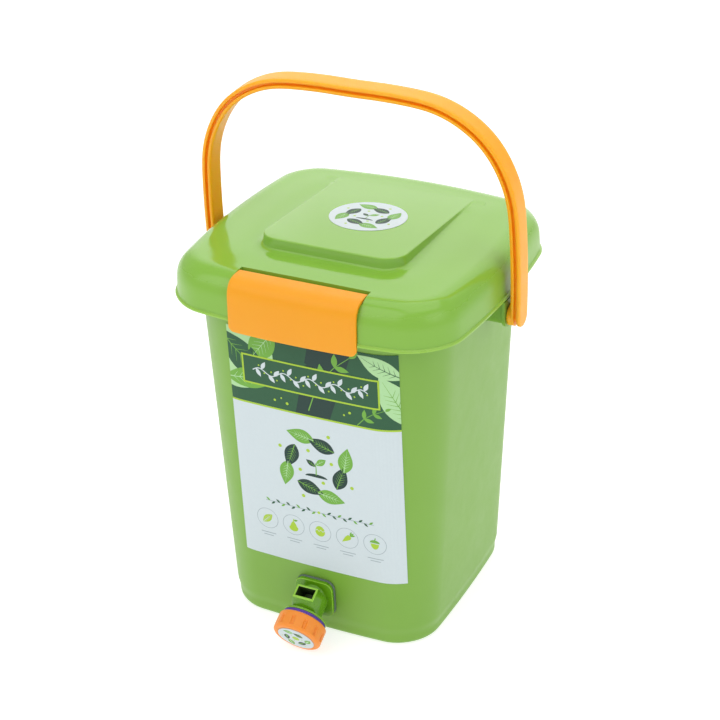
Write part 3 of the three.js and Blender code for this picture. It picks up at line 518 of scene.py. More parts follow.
def moulded_rubber(name, colour, deep, roughness):
    """Moulded elastomer: matt, with a dusty bloom in soft patches."""
    material, tree = new_material(name)
    where = add_node(tree, "ShaderNodeTexCoord").outputs["Object"]
    bloom = add_node(tree, "ShaderNodeTexNoise", {
        "Vector": where, "Scale": 1 / (BLOOM * MM), "Detail": 5.0, "Roughness": 0.65})
    tint = add_node(tree, "ShaderNodeMix", {
        0: bloom.outputs["Fac"], 6: linear(colour), 7: linear(deep)}, data_type="RGBA")
    skin = add_node(tree, "ShaderNodeTexNoise", {
        "Vector": where, "Scale": 1 / (RUBBER_GRAIN * MM), "Detail": 3.0})
    bump = add_node(tree, "ShaderNodeBump", {
        "Strength": 0.4, "Distance": 0.03 * MM, "Height": skin.outputs["Fac"]})
    shader = add_node(tree, "ShaderNodeBsdfPrincipled", {
        "Base Color": tint.outputs[2], "Roughness": roughness, "IOR": 1.52,
        "Normal": bump.outputs["Normal"]})
    add_node(tree, "ShaderNodeOutputMaterial", {"Surface": shader.outputs["BSDF"]})
    return material


def printed_film(name, colour, fade):
    """Ink on self-adhesive film: smooth, half gloss, with the faint waves of film laid by
    hand and a very fine mottle in the ink."""
    material, tree = new_material(name)
    where = add_node(tree, "ShaderNodeTexCoord").outputs["Object"]
    mottle = add_node(tree, "ShaderNodeTexNoise", {
        "Vector": where, "Scale": 1 / (MOTTLE * MM), "Detail": 4.0, "Roughness": 0.6})
    tint = add_node(tree, "ShaderNodeMix", {
        0: mottle.outputs["Fac"], 6: linear(colour), 7: linear(fade)}, data_type="RGBA")
    waves = add_node(tree, "ShaderNodeTexNoise", {
        "Vector": where, "Scale": 1 / (WAVES * MM), "Detail": 2.0})
    bump = add_node(tree, "ShaderNodeBump", {
        "Strength": 0.25, "Distance": 0.4 * MM, "Height": waves.outputs["Fac"]})
    shader = add_node(tree, "ShaderNodeBsdfPrincipled", {
        "Base Color": tint.outputs[2], "Roughness": 0.42, "IOR": 1.5,
        "Specular IOR Level": 0.25, "Normal": bump.outputs["Normal"]})
    add_node(tree, "ShaderNodeOutputMaterial", {"Surface": shader.outputs["BSDF"]})
    return material


bucket_pp = moulded_polypropylene("bucket_polypropylene", "#7CAB3D", "#76A537", 0.4)
lid_pp = moulded_polypropylene("lid_polypropylene", "#83B53F", "#7DAF39", 0.12, depth=0.005,
                               matt_below=LID_MATT)
# The lip is painted brighter than the skirt, a painted highlight for the light that comes through
# the lid's thin lip
lip_highlight_pp = moulded_polypropylene("lid_lip_painted_highlight", "#93C048", "#8DBA42", 0.3, glow=0.12)
# The tap is a deeper green, with a painted highlight on its rounded edges and painted shade in its
# spout
tap_pp = moulded_polypropylene("tap_polypropylene", "#639C12", "#5A920E", 0.28, glow=0.03)
rim_highlight_pp = moulded_polypropylene("tap_rim_painted_highlight", "#93C93A", "#8CC234", 0.25, glow=0.03)
# Painted shade for the inside of the spout and the valve plug seen in it
spout_shade_pp = moulded_polypropylene("tap_spout_painted_shade", "#2F4A10", "#29430D", 0.6, glow=0.0)
grate_pp = moulded_polypropylene("grate_polypropylene", "#74AC3C", "#6BA334", 0.5)
latch_pp = moulded_polypropylene("latch_polypropylene", "#EE9F0E", "#EA9A0A", 0.45, glow=0.12,
                                 scatter=WARM, shine=0.38)
bail_pp = moulded_polypropylene("bail_polypropylene", "#F9AD16", "#F5A711", 0.4, glow=0.6,
                                scatter=WARM, reach=7.0, shine=0.42)
knob_pp = moulded_polypropylene("knob_polypropylene", "#F3912A", "#EE8A24", 0.42, glow=0.12,
                                scatter=WARM)
violet_rubber = moulded_rubber("ring_rubber", "#6444AC", "#59399E", 0.5)
# Grey rubber, painted darker and greener than its own grey as painted shade round the flange
shaded_grey_rubber = moulded_rubber("gasket_rubber", "#64756A", "#5A6B5F", 0.75)
milky_rubber = moulded_rubber("seal_rubber", "#DCE0D8", "#D2D7CE", 0.5)
INKS = {
    "white": printed_film("film_white", "#CDD8DB", "#C7D3D7"),
    "forest": printed_film("ink_forest_green", "#315D40", "#2D583C"),
    "night": printed_film("ink_night_green", "#27413A", "#243C36"),
    "mint": printed_film("ink_mint_green", "#AFD8A0", "#A8D299"),
    "lime": printed_film("ink_lime", "#A9CA3C", "#A2C437"),
    "leaf": printed_film("ink_leaf_green", "#74AC46", "#6DA641"),
    "grey": printed_film("ink_grey", "#9AA9AE", "#94A3A9"),
}
INK_NAMES = list(INKS)


def make_bucket():
    rings = [foot_ring(inset, z) for inset, z in UNDERSIDE]
    for turn in turns(8):
        rings.append(foot_ring(BASE_EDGE * (1 - math.sin(turn)), BASE_EDGE * (1 - math.cos(turn))))
    rings += [foot_ring(0, z) for z in (*FOOT_HEIGHTS, *WALL_HEIGHTS, LEDGE - 1, LEDGE)]
    rim = [(0, RIM_FOOT), (0, RIM_FOOT + 1), (0, RIM_TOP - RIM_EDGE),
           (RIM_CHAMFER, RIM_TOP - RIM_CHAMFER), (RIM_EDGE, RIM_TOP), (WALL - RIM_EDGE, RIM_TOP),
           (WALL, RIM_TOP - RIM_EDGE), (WALL, RIM_FOOT + WALL)]
    rings += [lid_ring(RIM_INSET + inset, z) for inset, z in rim]
    rings += [wall_ring(WALL, LEDGE + WALL, LEDGE), wall_ring(WALL, LEDGE - 2)]
    rings += [foot_ring(WALL, z, FOOT_DROP) for z in (*WALL_HEIGHTS[::-1], *INNER_FOOT_HEIGHTS)]
    inner_edge = BASE_EDGE - WALL / 2
    for turn in turns(8):
        rings.append(foot_ring(WALL + inner_edge * (1 - math.cos(turn)),
                               FLOOR + inner_edge * (1 - math.sin(turn)), FOOT_DROP))
    bosses, hollows = [], []
    root = wall_sizes(BAIL_PIVOT[1])[0] - WALL / 2
    y, z = BAIL_PIVOT
    opening = [(y - BOSS_HOLLOW, z), (y + BOSS_HOLLOW, z),
               (y + BOSS_HOLLOW, z - BOSS_OPENING), (y - BOSS_HOLLOW, z - BOSS_OPENING)]
    for side in (1, -1):
        face, back = side * BOSS_FACE, side * (BOSS_FACE - BOSS_PLATE)
        bosses.append(prism_along_x(trough(BAIL_PIVOT, BOSS_RADIUS, BOSS_TOP, 24),
                                    (side * root, side * (BOSS_FACE - BOSS_SINK))))
        bosses.append(prism_along_x(trough(BAIL_PIVOT, BOSS_PLATE_RADIUS, BOSS_TOP, 24),
                                    (back, face)))
        for outline in (trough(BAIL_PIVOT, BOSS_HOLLOW, LEDGE - WALL, 24), opening):
            hollows.append(prism_along_x(outline, (side * BOSS_ROOT, back)))
        hollows.append(bar_along_x([(BOSS_HOLE, back - side * CUT), (BOSS_HOLE, face + side * CUT)],
                                   BAIL_PIVOT))
    hole = moved(skinned([circle(TAP_HOLE, -WALL - CUT), circle(TAP_HOLE, CUT)]), tap_matrix())
    shell = carved(skinned(rings), bosses, "UNION")
    shell = carved(shell, hollows + [hole], "DIFFERENCE")
    finished(shell, "bucket_shell", "bin", "bucket", [bucket_pp], 38)


def wedge_top(y):
    share = (y - WEDGE_FRONT) / (WEDGE_BACK - WEDGE_FRONT)
    return lerp(WEDGE_TOP, CROWN_TOP - WEDGE_SINK, share)


def wedge_ring(spread, share):
    """The wedge's outline, spread outwards, at a share of its height over its sunk foot."""
    half = WEDGE_WIDTH / 2 + spread
    front, round_front = WEDGE_FRONT - spread, WEDGE_CORNER + spread
    corners = [(half, WEDGE_BACK, WEDGE_BACK_CORNER), (-half, WEDGE_BACK, WEDGE_BACK_CORNER),
               (-half, front, round_front), (half, front, round_front)]
    points = []
    for index, (x, y, corner) in enumerate(corners):
        middle_x, middle_y = x - math.copysign(corner, x), y - math.copysign(corner, y)
        for k in range(13):
            turn = (index + k / 12) * QUARTER
            points.append((middle_x + corner * math.cos(turn), middle_y + corner * math.sin(turn)))
        start = points[-1]
        next_x, next_y, corner = corners[(index + 1) % 4]
        end = [(next_x + corner, next_y), (next_x, next_y + corner), (next_x - corner, next_y),
               (next_x, next_y - corner)][index]
        for k in range(1, 10):
            points.append((lerp(start[0], end[0], k / 10), lerp(start[1], end[1], k / 10)))
    ring = []
    for x, y in points:
        foot = min(CROWN_TOP - COVE_SINK, wedge_top(y) - 0.05)
        ring.append(Vector((x, y, lerp(foot, wedge_top(y), share))))
    return ring


def make_wedge():
    """The raised wedge, with a soft fillet at its foot and a rounded upper edge."""
    foot = [Vector((p.x, p.y, CROWN_TOP - WEDGE_ROOT)) for p in wedge_ring(COVE_REACH, 0)]
    rings = [foot, wedge_ring(COVE_REACH, 0)]
    for turn in turns(8)[1:]:
        rings.append(wedge_ring(COVE_REACH - COVE_RUN * math.sin(turn),
                                COVE_SHARE * (1 - math.cos(turn))))
    for turn in turns(5):
        rings.append(wedge_ring(WEDGE_SPREAD - WEDGE_EDGE * (1 - math.cos(turn)),
                                WEDGE_EDGE_FROM + WEDGE_EDGE_SHARE * math.sin(turn)))
    return skinned(rings)


def cover_outline(inset, bottom):
    """The latch's outer side in Y and Z from its foot to over its pin, less an inset."""
    reach = LATCH_FACE - SKIRT_DRAFT - SHOULDER_MID - inset
    rise = LATCH_PIN[1] + LATCH_BARREL - SHOULDER - inset
    outline = [(-LATCH_FACE + inset, bottom)]
    for turn in turns(16):
        back = reach * max(math.cos(turn), 0) ** (2 / LATCH_BEND)
        outline.append((-SHOULDER_MID - back, SHOULDER + rise * math.sin(turn) ** (2 / LATCH_BEND)))
    outline.append((LATCH_PIN[0], SHOULDER + rise))
    return outline


def bow_front(point):
    """Bows a shape under the latch as the lid's front is bowed."""
    x, y, z = point
    share = min(max((-y + LATCH_PIN[0]) / (LATCH_FACE + LATCH_PIN[0]), 0), 1)
    return Vector((x, y + share * LID_BOW * (x / (LID[0] / 2)) ** 2, z))


def stations(half, steps=24):
    return [lerp(-half, half, k / steps) for k in range(steps + 1)]


def pocket_tools(wall):
    """The latch's pocket, less a wall all round it."""
    half = LATCH_WIDTH / 2 + LATCH_GAP + wall
    top, low = WEDGE_TOP + CUT, SKIRT - CUT - wall
    front = -LATCH_FACE - POCKET_FRONT
    outline = [(front, low)] + cover_outline(LATCH_WALL + LATCH_GAP + wall, low)
    outline += [(LATCH_PIN[0], top), (front, top)]
    heel = trough(LATCH_PIN, LATCH_BARREL + LATCH_HEEL + wall, top, 16)
    return [prism_along_x(outline, stations(half), bow_front),
            prism_along_x(heel, (-half - 0.01, half + 0.01))]


def lid_rings(wall):
    """The lid's shoulder and crown, a wall's thickness in."""
    rings = []
    for turn in turns(12):
        inset = SKIRT_INSET + SHOULDER_REACH - (SHOULDER_REACH - wall) * math.cos(turn)
        rings.append(lid_ring(inset, SHOULDER + (SHOULDER_RISE - wall) * math.sin(turn)))
    for k in range(1, 9):
        inset = SKIRT_INSET + SHOULDER_REACH + CROWN_REACH * k / 8
        rings.append(lid_ring(inset, LID_TOP + CROWN_RISE * smooth(k / 8) - wall))
    return rings


def seat_ribs():
    """The ribs between skirt and plug rib that sit on the bucket's rim."""
    low = RIM_TOP + SEAT
    section = [(-SEAT_RIB_HALF, low), (SEAT_RIB_HALF, low), (SEAT_RIB_HALF, SEAT_RIB_TOP),
               (-SEAT_RIB_HALF, SEAT_RIB_TOP)]
    ribs = []
    for side, places in SEAT_RIBS.items():
        across, deep = LID[side % 2] / 2, LID[1 - side % 2] / 2
        for along in places:
            out = (across - LID_BOW * (along / deep) ** 2) * (1 if side < 2 else -1)
            place = Matrix.Translation((along, out, 0) if side % 2 else (out, along, 0))
            rib = prism_along_x(section, (-PLUG_INSET - 1, -SEAT_RIB_END))
            ribs.append(moved(rib, place @ Matrix.Rotation(side * QUARTER, 4, "Z")))
    return ribs


def make_lid():
    lip = [(inset, SKIRT + rise) for inset, rise in LIP_FOOT]
    lip += [(inset, SKIRT + LIP_HEIGHT + rise) for inset, rise in LIP_HEAD]
    outer = skinned([lid_ring(inset, z) for inset, z in lip] + lid_rings(0))
    hollow = skinned([lid_ring(LIP_REACH + WALL, z) for z in (SKIRT - CUT, SKIRT + 4)]
                     + lid_rings(WALL))
    under = [[Vector((p.x, p.y, LID_TOP - 8)) for p in wedge_ring(-WALL, 1)],
             [Vector((p.x, p.y, p.z - WALL)) for p in wedge_ring(-WALL, 1)]]
    hollow = carved(hollow, [skinned(under)], "UNION")
    hollow = carved(hollow, pocket_tools(POCKET_WALL), "DIFFERENCE")
    half, socket = LATCH_WIDTH / 2 + LATCH_GAP, LATCH_WIDTH / 2 + SOCKET_REACH
    behind, low, high = LATCH_PIN[0] - 1, SKIRT - CUT, SKIRT + WINDOW_RISE
    window = [(WINDOW_FRONT, low), (behind, low), (behind, high), (WINDOW_FRONT, high)]
    cuts = pocket_tools(0.0) + [
        prism_along_x(window, (-half, half)),
        bar_along_x([(SOCKET_RADIUS, -socket), (SOCKET_RADIUS, socket)], LATCH_PIN, 24)]
    plug_rib = skinned([lid_ring(PLUG_INSET + across, z) for across, z in PLUG_SECTION],
                       endless=True)
    shell = carved(outer, [make_wedge()], "UNION")
    shell = carved(shell, [hollow], "DIFFERENCE")
    shell = carved(shell, [plug_rib] + seat_ribs(), "UNION")
    shell = carved(shell, cuts, "DIFFERENCE")
    lid = finished(shell, "lid_shell", "lid", "lid", [lid_pp, lip_highlight_pp], 30)
    # Faces of the lip and below it take the lip's painted highlight
    for polygon in lid.data.polygons:
        polygon.material_index = int(polygon.center.z < (SKIRT + LIP_HEIGHT + 0.5) * MM)


def make_latch():
    """The curved cover with its catch, its barrel and the stubs that it turns on."""
    outer = cover_outline(0, LATCH_BOTTOM)
    inner = cover_outline(LATCH_WALL, LATCH_BOTTOM)
    half = LATCH_WIDTH / 2
    cover = prism_along_x(outer + inner[::-1], stations(half), bow_front)
    crest = -(LID[1] / 2 - RIM_INSET + CATCH_CLEAR)
    top, root = LATCH_BOTTOM + CATCH_RISE, -LATCH_FACE + CATCH_ROOT
    catch = [(root, top), (crest - CATCH_EDGE, top), (crest, top - CATCH_EDGE),
             (crest, top - 2 * CATCH_EDGE), (root, top - CATCH_HEIGHT)]
    end = half + LATCH_STUB_REACH
    extras = [prism_along_x(catch, stations(CATCH_HALF), bow_front),
              bar_along_x([(LATCH_BARREL, -half), (LATCH_BARREL, half)], LATCH_PIN),
              bar_along_x([(LATCH_STUB, -end), (LATCH_STUB, end)], LATCH_PIN, 24)]
    cover = carved(cover, extras, "UNION")
    right = [(half - LATCH_CORNER + LATCH_CORNER * math.sin(turn),
              LATCH_BOTTOM + LATCH_CORNER * (1 - math.cos(turn))) for turn in turns(10)]
    low, high = LATCH_PIN[1] - LATCH_BARREL, LATCH_PIN[1] + 8
    right += [(half, low), (half + 4, low), (half + 4, high)]
    front = right + [(-x, z) for x, z in right[::-1]]
    face = skinned([[Vector((x, y, z)) for x, z in front] for y in (-LATCH_FACE - 4, 0)])
    cover = carved(cover, [face], "INTERSECT")
    finished(cover, "latch_cover", "latch", "lid_latch", [latch_pp], 40, 0.45)


def smooth_course(knots, steps):
    """Evenly spaced points on the smooth curve through the knots."""
    first = knots[0] * 2 - knots[1]
    last = knots[-1] * 2 - knots[-2]
    padded = [first] + knots + [last]
    dense = []
    for p0, p1, p2, p3 in zip(padded, padded[1:], padded[2:], padded[3:]):
        a, b, c = [math.sqrt((q - p).length) for p, q in ((p0, p1), (p1, p2), (p2, p3))]
        start = ((p1 - p0) / a - (p2 - p0) / (a + b) + (p2 - p1) / b) * b
        end = ((p2 - p1) / b - (p3 - p1) / (b + c) + (p3 - p2) / c) * b
        for k in range(24):
            t = k / 24
            dense.append(p1 * (2 * t ** 3 - 3 * t ** 2 + 1) + start * (t ** 3 - 2 * t ** 2 + t)
                         + p2 * (3 * t ** 2 - 2 * t ** 3) + end * (t ** 3 - t ** 2))
    dense.append(knots[-1])
    for _ in range(BAIL_SMOOTHING):
        dense[1:-1] = [a.lerp(c, 0.5).lerp(b, 0.5)
                       for a, b, c in zip(dense, dense[1:], dense[2:])]
    lengths = run_along(dense)
    course, index = [], 0
    for k in range(steps + 1):
        goal = lengths[-1] * k / steps
        while index < len(lengths) - 2 and lengths[index + 1] < goal:
            index += 1
        span = lengths[index + 1] - lengths[index]
        course.append(dense[index].lerp(dense[index + 1], (goal - lengths[index]) / span))
    return course


def run_along(points):
    """The distance along a line of points, for each of them."""
    lengths = [0.0]
    for a, b in zip(points, points[1:]):
        lengths.append(lengths[-1] + (b - a).length)
    return lengths


def strip_section():
    """The strip's H section: x across its thickness, y across its width."""
    thick, wide = BAIL_THICK / 2, BAIL_WIDE / 2
    groove, deep = BAIL_GROOVE / 2, wide - BAIL_GROOVE_DEPTH
    quarter = [(thick, 0.0), (thick, wide / 2)]
    for turn in turns(4):
        quarter.append((thick - BAIL_EDGE + BAIL_EDGE * math.cos(turn),
                        wide - BAIL_EDGE + BAIL_EDGE * math.sin(turn)))
    quarter += [(groove + BAIL_LIP, wide), (groove + 0.1, wide - 0.1), (groove, wide - BAIL_LIP),
                (groove, deep + 0.5), (groove - 0.4, deep)]
    upper = quarter + [(-x, y) for x, y in quarter][::-1]
    lower = [(-x, -y) for x, y in upper][1:-1]
    return upper + lower


def make_bail():
    """One strip that arches over the lid, with round ends, pads, stubs and their heads."""
    half = [Vector((across * BAIL_HALF, 0, up * BAIL_RISE)) for across, up in BAIL_COURSE]
    knots = half + [Vector((-p.x, 0, p.z)) for p in half[:-1]][::-1]
    course = smooth_course(knots, BAIL_STEPS)
    section = strip_section()
    rings = []
    for k, point in enumerate(course):
        along = (course[min(k + 1, BAIL_STEPS)] - course[max(k - 1, 0)]).normalized()
        outward = Vector((0, 1, 0)).cross(along).normalized()
        rings.append([point + outward * x + Vector((0, y, 0)) for x, y in section])
    middle = knots[0].x
    head = BAIL_INNER - RUNNING - BOSS_PLATE - RUNNING
    pad_end = middle - BAIL_GROOVE
    round_end = [(y - 0.03, middle + x * 0.995) for x, y in section if y > 0.1]
    pad = [(BAIL_PAD - 0.6, BAIL_INNER), (BAIL_PAD - 0.15, BAIL_INNER + 0.18),
           (BAIL_PAD, BAIL_INNER + 0.6), (BAIL_PAD, pad_end - 0.6),
           (BAIL_PAD - 0.3, pad_end - 0.15), (BAIL_PAD - 0.8, pad_end)]
    stub = [(BAIL_STUB, head - 1), (BAIL_STUB, BAIL_INNER + BAIL_THICK / 2)]
    cap = [(BAIL_STUB, head - 2), (BAIL_HEAD, head - 1), (BAIL_HEAD, head)]
    ends = [bar_along_x([(r, side * x) for r, x in profile], (0, 0))
            for side in (1, -1) for profile in (round_end, pad, stub, cap)]
    place = Matrix.Translation((0, *BAIL_PIVOT)) @ Matrix.Rotation(BAIL_LEAN, 4, "X")
    bail = moved(carved(skinned(rings), ends, "UNION"), place)
    finished(bail, "bail_arch", "bail", "bail_handle", [bail_pp], 35)


def tap_matrix():
    """The tap's frame: its Z runs out square to the front wall."""
    lean = math.atan((MOUTH[1] - BASE[1]) / 2 / LEDGE)
    front = wall_sizes(TAP_HEIGHT)[1]
    return Matrix.Translation((0, -front, TAP_HEIGHT)) @ Matrix.Rotation(QUARTER + lean, 4, "X")


def barrel_matrix():
    return (tap_matrix() @ Matrix.Translation((0, 0, FLANGE_FRONT))
            @ Matrix.Rotation(BARREL_TILT, 4, "X"))


def copied(node):
    """A merged copy of a solid, in millimetres."""
    bm = bmesh.new()
    bm.from_mesh(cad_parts[node].data)
    bmesh.ops.scale(bm, vec=(1 / MM, 1 / MM, 1 / MM), verts=bm.verts)
    bmesh.ops.remove_doubles(bm, verts=bm.verts, dist=0.004)
    bmesh.ops.dissolve_limit(bm, angle_limit=math.radians(2.0), verts=bm.verts, edges=bm.edges)
    return bm


def softened_copy(node, name, material, edge, size=1.0):
    """A copy of a solid with its small edges rounded, as a mould leaves them."""
    flat = tap_matrix() @ Matrix.Diagonal((size, size, 1, 1)) @ tap_matrix().inverted()
    finished(moved(copied(node), flat), name, "bin", node, [material], 30, edge)


def make_tap():
    """The tap's body, with a painted highlight on its rounded edges and painted shade in its
    spout's throat.
    """
    bm = copied("tap_body")
    from_wall, from_barrel = tap_matrix().inverted(), barrel_matrix().inverted()
    edges = []
    for edge in bm.edges:
        if len(edge.link_faces) == 2 and edge.calc_face_angle() > TAP_SHARP:
            wall = [from_wall @ vert.co for vert in edge.verts]
            barrel = [from_barrel @ vert.co for vert in edge.verts]
            if (all(abs(p.z - FLANGE_FRONT) < 0.05 and max(abs(p.x), abs(p.y)) > FLANGE_OUTER
                    for p in wall)
                    or all(math.hypot(p.x, p.y) > COLLAR_EDGE for p in barrel)
                    or all(p.y > SPOUT_RISE for p in barrel)):
                edges.append(edge)
    rounded = bmesh.ops.bevel(bm, geom=edges, offset=TAP_EDGE, offset_type="OFFSET",
                              affect="EDGES", segments=2, profile=0.5, material=-1,
                              clamp_overlap=True)
    # The new faces of the rounded edges take the second material, a painted highlight
    for face in rounded["faces"]:
        face.material_index = 1
    # Faces round the spout's mouth take the painted highlight and faces inside its throat painted
    # shade
    for face in bm.faces:
        x, y, z = from_barrel @ face.calc_center_median()
        across, along = abs(x) - SPOUT_HALF, abs(z - SPOUT_SET) - SPOUT_GAP
        if across < SPOUT_RIM and along < SPOUT_RIM and y > SPOUT_RISE:
            face.material_index = 1
        elif across < 0 and along < 0 and y > SPOUT_ROOT:
            face.material_index = 2
    finished(bm, "tap_elbow", "bin", "tap_body", [tap_pp, rim_highlight_pp, spout_shade_pp], 30)


def make_knob():
    """A cap with a hub inside and grip notches round its face."""
    r, low, high = KNOB_RADIUS, KNOB_BACK, KNOB_FACE
    inner = [(0, low + 9.8), (4.3, low + 9.8), (4.3, low + 0.3), (6.1, low + 0.3),
             (6.1, high - 5.2), (18.2, high - 5.2), (18.2, low)]
    outer = [(19.5, low), (20.3, low + 0.3), (20.7, low + 0.8), (r, low + 1.4)]
    outer += [(r, lerp(low + 1.6, high - 2.1, k / KNOB_ROWS)) for k in range(KNOB_ROWS + 1)]
    outer += [(20.65, high - 1.5), (20.2, high - 0.95), (19.5, high - 0.35), (18.7, high - 0.06),
              (18.0, high), (16.6, high), (16.4, high - 0.12), (0, high - 0.12)]
    bm = spun(inner + outer, 288)
    for vert in bm.verts:
        radius = math.hypot(vert.co.x, vert.co.y)
        if radius > r - 0.05:
            turn = math.atan2(vert.co.y, vert.co.x) / (4 * QUARTER) * NOTCHES
            across = abs(turn - round(turn)) * 4 * QUARTER / NOTCHES * r
            reach = 1 - smooth((across - NOTCH_HALF) / NOTCH_EASE)
            end = min(vert.co.z - (high - NOTCH_START), (high - NOTCH_END) - vert.co.z)
            depth = NOTCH_DEPTH * reach * smooth(end)
            vert.co.x *= (radius - depth) / radius
            vert.co.y *= (radius - depth) / radius
    moved(bm, barrel_matrix())
    finished(bm, "knob_cap", "valve", "tap_knob", [knob_pp], 36)


def make_ring():
    """The seal ring, with a shallow groove round its middle."""
    section = [(9.3, 0), (18.1, 0), (18.45, 0.15), (18.6, 0.5), (18.6, 1.0), (18.3, 1.2),
               (18.3, 1.4), (18.6, 1.6), (18.6, 2.1), (18.45, 2.45), (18.1, RING_THICK),
               (9.3, RING_THICK), (9.3, 0)]
    bm = moved(spun([(radius, RING_BACK + z) for radius, z in section], 128), barrel_matrix())
    finished(bm, "knob_ring", "valve", "knob_seal_ring", [violet_rubber], 36)


def patch(art, points, ink, layer=1):
    """One flat printed shape. Its layer becomes its height over the film."""
    verts = [art.verts.new((u, w, layer)) for u, w in points]
    art.faces.new(verts).material_index = INK_NAMES.index(ink)


def box(left, low, right, high):
    return [(left, low), (right, low), (right, high), (left, high)]


def turned(u, w, turn):
    """Puts a point (x, y) at (u, w), turned by a number of degrees."""
    c, s = math.cos(math.radians(turn)), math.sin(math.radians(turn))
    return lambda x, y: (u + x * c - y * s, w + x * s + y * c)


def blade(u, w, length, width, turn, steps=14, belly=0.45):
    """A leaf's outline from its foot at (u, w), pointing along turn, in degrees."""
    side = []
    for k in range(steps + 1):
        t = k / steps
        swell = math.sin(math.pi * t ** (math.log(0.5) / math.log(belly)))
        side.append((t * length, swell * width / 2))
    at = turned(u, w, turn)
    return [at(x, y) for x, y in side + [(x, -y) for x, y in side[-2:0:-1]]]


def stroke(points, width, taper=0.0):
    """A thin line along the points, tapering to its end."""
    left, right = [], []
    for k, (x, y) in enumerate(points):
        ahead, behind = points[min(k + 1, len(points) - 1)], points[max(k - 1, 0)]
        dx, dy = ahead[0] - behind[0], ahead[1] - behind[1]
        size = math.hypot(dx, dy)
        half = width / 2 * (1 - taper * k / (len(points) - 1))
        left.append((x - dy / size * half, y + dx / size * half))
        right.append((x + dy / size * half, y - dx / size * half))
    return left + right[::-1]


def oval(u, w, wide, high, steps=20, quarters=2):
    """Points round an oval, from its right end through a number of quarter turns."""
    return [(u + wide * math.cos(t), w + high * math.sin(t)) for t in turns(steps, quarters)]


def disc(u, w, radius, steps=36):
    return oval(u, w, radius, radius, steps, 4)[:-1]


def hoop(art, u, w, radius, width, ink, layer, steps=48):
    angles = turns(steps, 4)
    for start, end in zip(angles, angles[1:]):
        corners = [(radius, start), (radius + width, start), (radius + width, end), (radius, end)]
        patch(art, [(u + r * math.cos(t), w + r * math.sin(t)) for r, t in corners], ink, layer)


def veined(art, u, w, length, width, turn, ink, vein, layer=1, belly=0.5, veins=4, weight=0.7):
    """A leaf with a midrib and side veins."""
    patch(art, blade(u, w, length, width, turn, belly=belly), ink, layer)
    at = turned(u, w, turn)
    midrib = [at(length * share, 0) for share in (0.03, 0.5, 0.9)]
    patch(art, stroke(midrib, weight, 0.8), vein, layer + 1)
    for k in range(veins):
        start = length * lerp(0.2, 0.62, k / (veins - 1))
        reach = width * 0.3 * math.sin(math.pi * (start / length + 0.12))
        for side in (1, -1):
            ends = [at(start, side * weight * 0.2), at(start + reach * 0.9, side * reach)]
            patch(art, stroke(ends, weight * 0.6, 0.7), vein, layer + 1)


def sprig(art, points, size, ink, weight):
    """A curved stem with pairs of small leaves and one at its end."""
    patch(art, stroke(points, weight, 0.5), ink, 3)
    for k, ((x, y), (x2, y2)) in enumerate(zip(points[1:], points[2:]), 1):
        along = math.degrees(math.atan2(y2 - y, x2 - x))
        scale = size * (1 - 0.45 * k / len(points))
        for side in (1, -1):
            patch(art, blade(x, y, scale, scale * 0.42, along + side * 48, 10), ink, 3)
    patch(art, blade(x2, y2, size * 0.6, size * 0.26, along, 10), ink, 3)


def wreath(art, u, w, radius, size, count, layer=1, detail=True):
    """Leaves of two greens that follow one another round a ring, with berries between."""
    for k in range(count):
        around = k / count * 360 + 90
        t = math.radians(around)
        foot = (u + radius * math.cos(t), w + radius * math.sin(t))
        lean = around + 90 + (26 if k % 2 else -10)
        ink, vein = ("night", "leaf") if k % 2 else ("leaf", "mint")
        if detail:
            veined(art, *foot, size, size * 0.52, lean, ink, vein, layer, 0.42, 5, size * 0.032)
        else:
            patch(art, blade(*foot, size, size * 0.56, lean), ink, layer)
            patch(art, blade(*foot, size * 0.8, size * 0.16, lean), vein, layer + 1)
        t += math.radians(180 / count)
        berry = radius * (1.36 if k % 2 else 0.62)
        place = (u + berry * math.cos(t), w + berry * math.sin(t))
        patch(art, disc(*place, size * 0.065, 14), "lime", layer)


def seedling(art, u, w, size, layer=1):
    """Two young leaves on a stem over a low mound."""
    stem = [(u, w - size), (u + size * 0.03, w - size * 0.4), (u - size * 0.02, w + size * 0.1)]
    patch(art, stroke(stem, size * 0.1, 0.4), "leaf", layer)
    veined(art, u, w - size * 0.1, size * 1.15, size * 0.56, 38, "leaf", "mint", layer, 0.5, 3,
           size * 0.05)
    veined(art, u, w - size * 0.25, size * 0.95, size * 0.46, 146, "night", "leaf", layer, 0.5, 3,
           size * 0.05)
    patch(art, oval(u, w - size * 1.22, size * 0.95, size * 0.3, 16), "night", layer)


def header(art):
    """Broad leaves over dark green, with a framed vine across them."""
    top, low = LABEL_HEIGHT, LABEL_DIVIDER
    patch(art, box(-2, low, LABEL_WIDTH + 2, top + 2), "forest", 1)
    patch(art, disc(6, 197, 35, 60), "mint", 2)
    veined(art, -10, 214, 66, 27, -43, "forest", "leaf", 3, veins=6, weight=1.0)
    veined(art, -6, 170, 50, 19, 8, "leaf", "mint", 3, veins=5, weight=0.9)
    veined(art, 44, 222, 40, 22, -128, "leaf", "mint", 3, veins=5, weight=0.8)
    patch(art, [(58, low - 1), (74, top + 3), (112, top + 3), (88, low - 1)], "night", 2)
    sprig(art, [(70, 155), (76, 172), (84, 187), (95, 200), (108, 211)], 17, "leaf", 1.0)
    sprig(art, [(56, 216), (58, 206), (62, 197), (69, 190)], 12, "forest", 0.9)
    veined(art, 158, 150, 56, 24, 118, "mint", "leaf", 3, veins=6, weight=0.9)
    veined(art, 152, 196, 42, 16, 152, "mint", "forest", 4, veins=5, weight=0.8)
    sprig(art, [(112, 151), (118, 158), (126, 164), (135, 168)], 10, "leaf", 0.8)
    for u, w, r in [(40, 158, 1.1), (46, 161, 0.8), (51, 157, 1.3), (101, 158, 0.9),
                    (106, 161, 1.2)]:
        patch(art, disc(u, w, r, 12), "lime", 3)
    patch(art, box(12.4, 168.6, 132, 195.6), "lime", 6)
    patch(art, box(13.9, 170.1, 130.5, 194.1), "forest", 7)
    vine(art, 22, 122.5, 182.1)


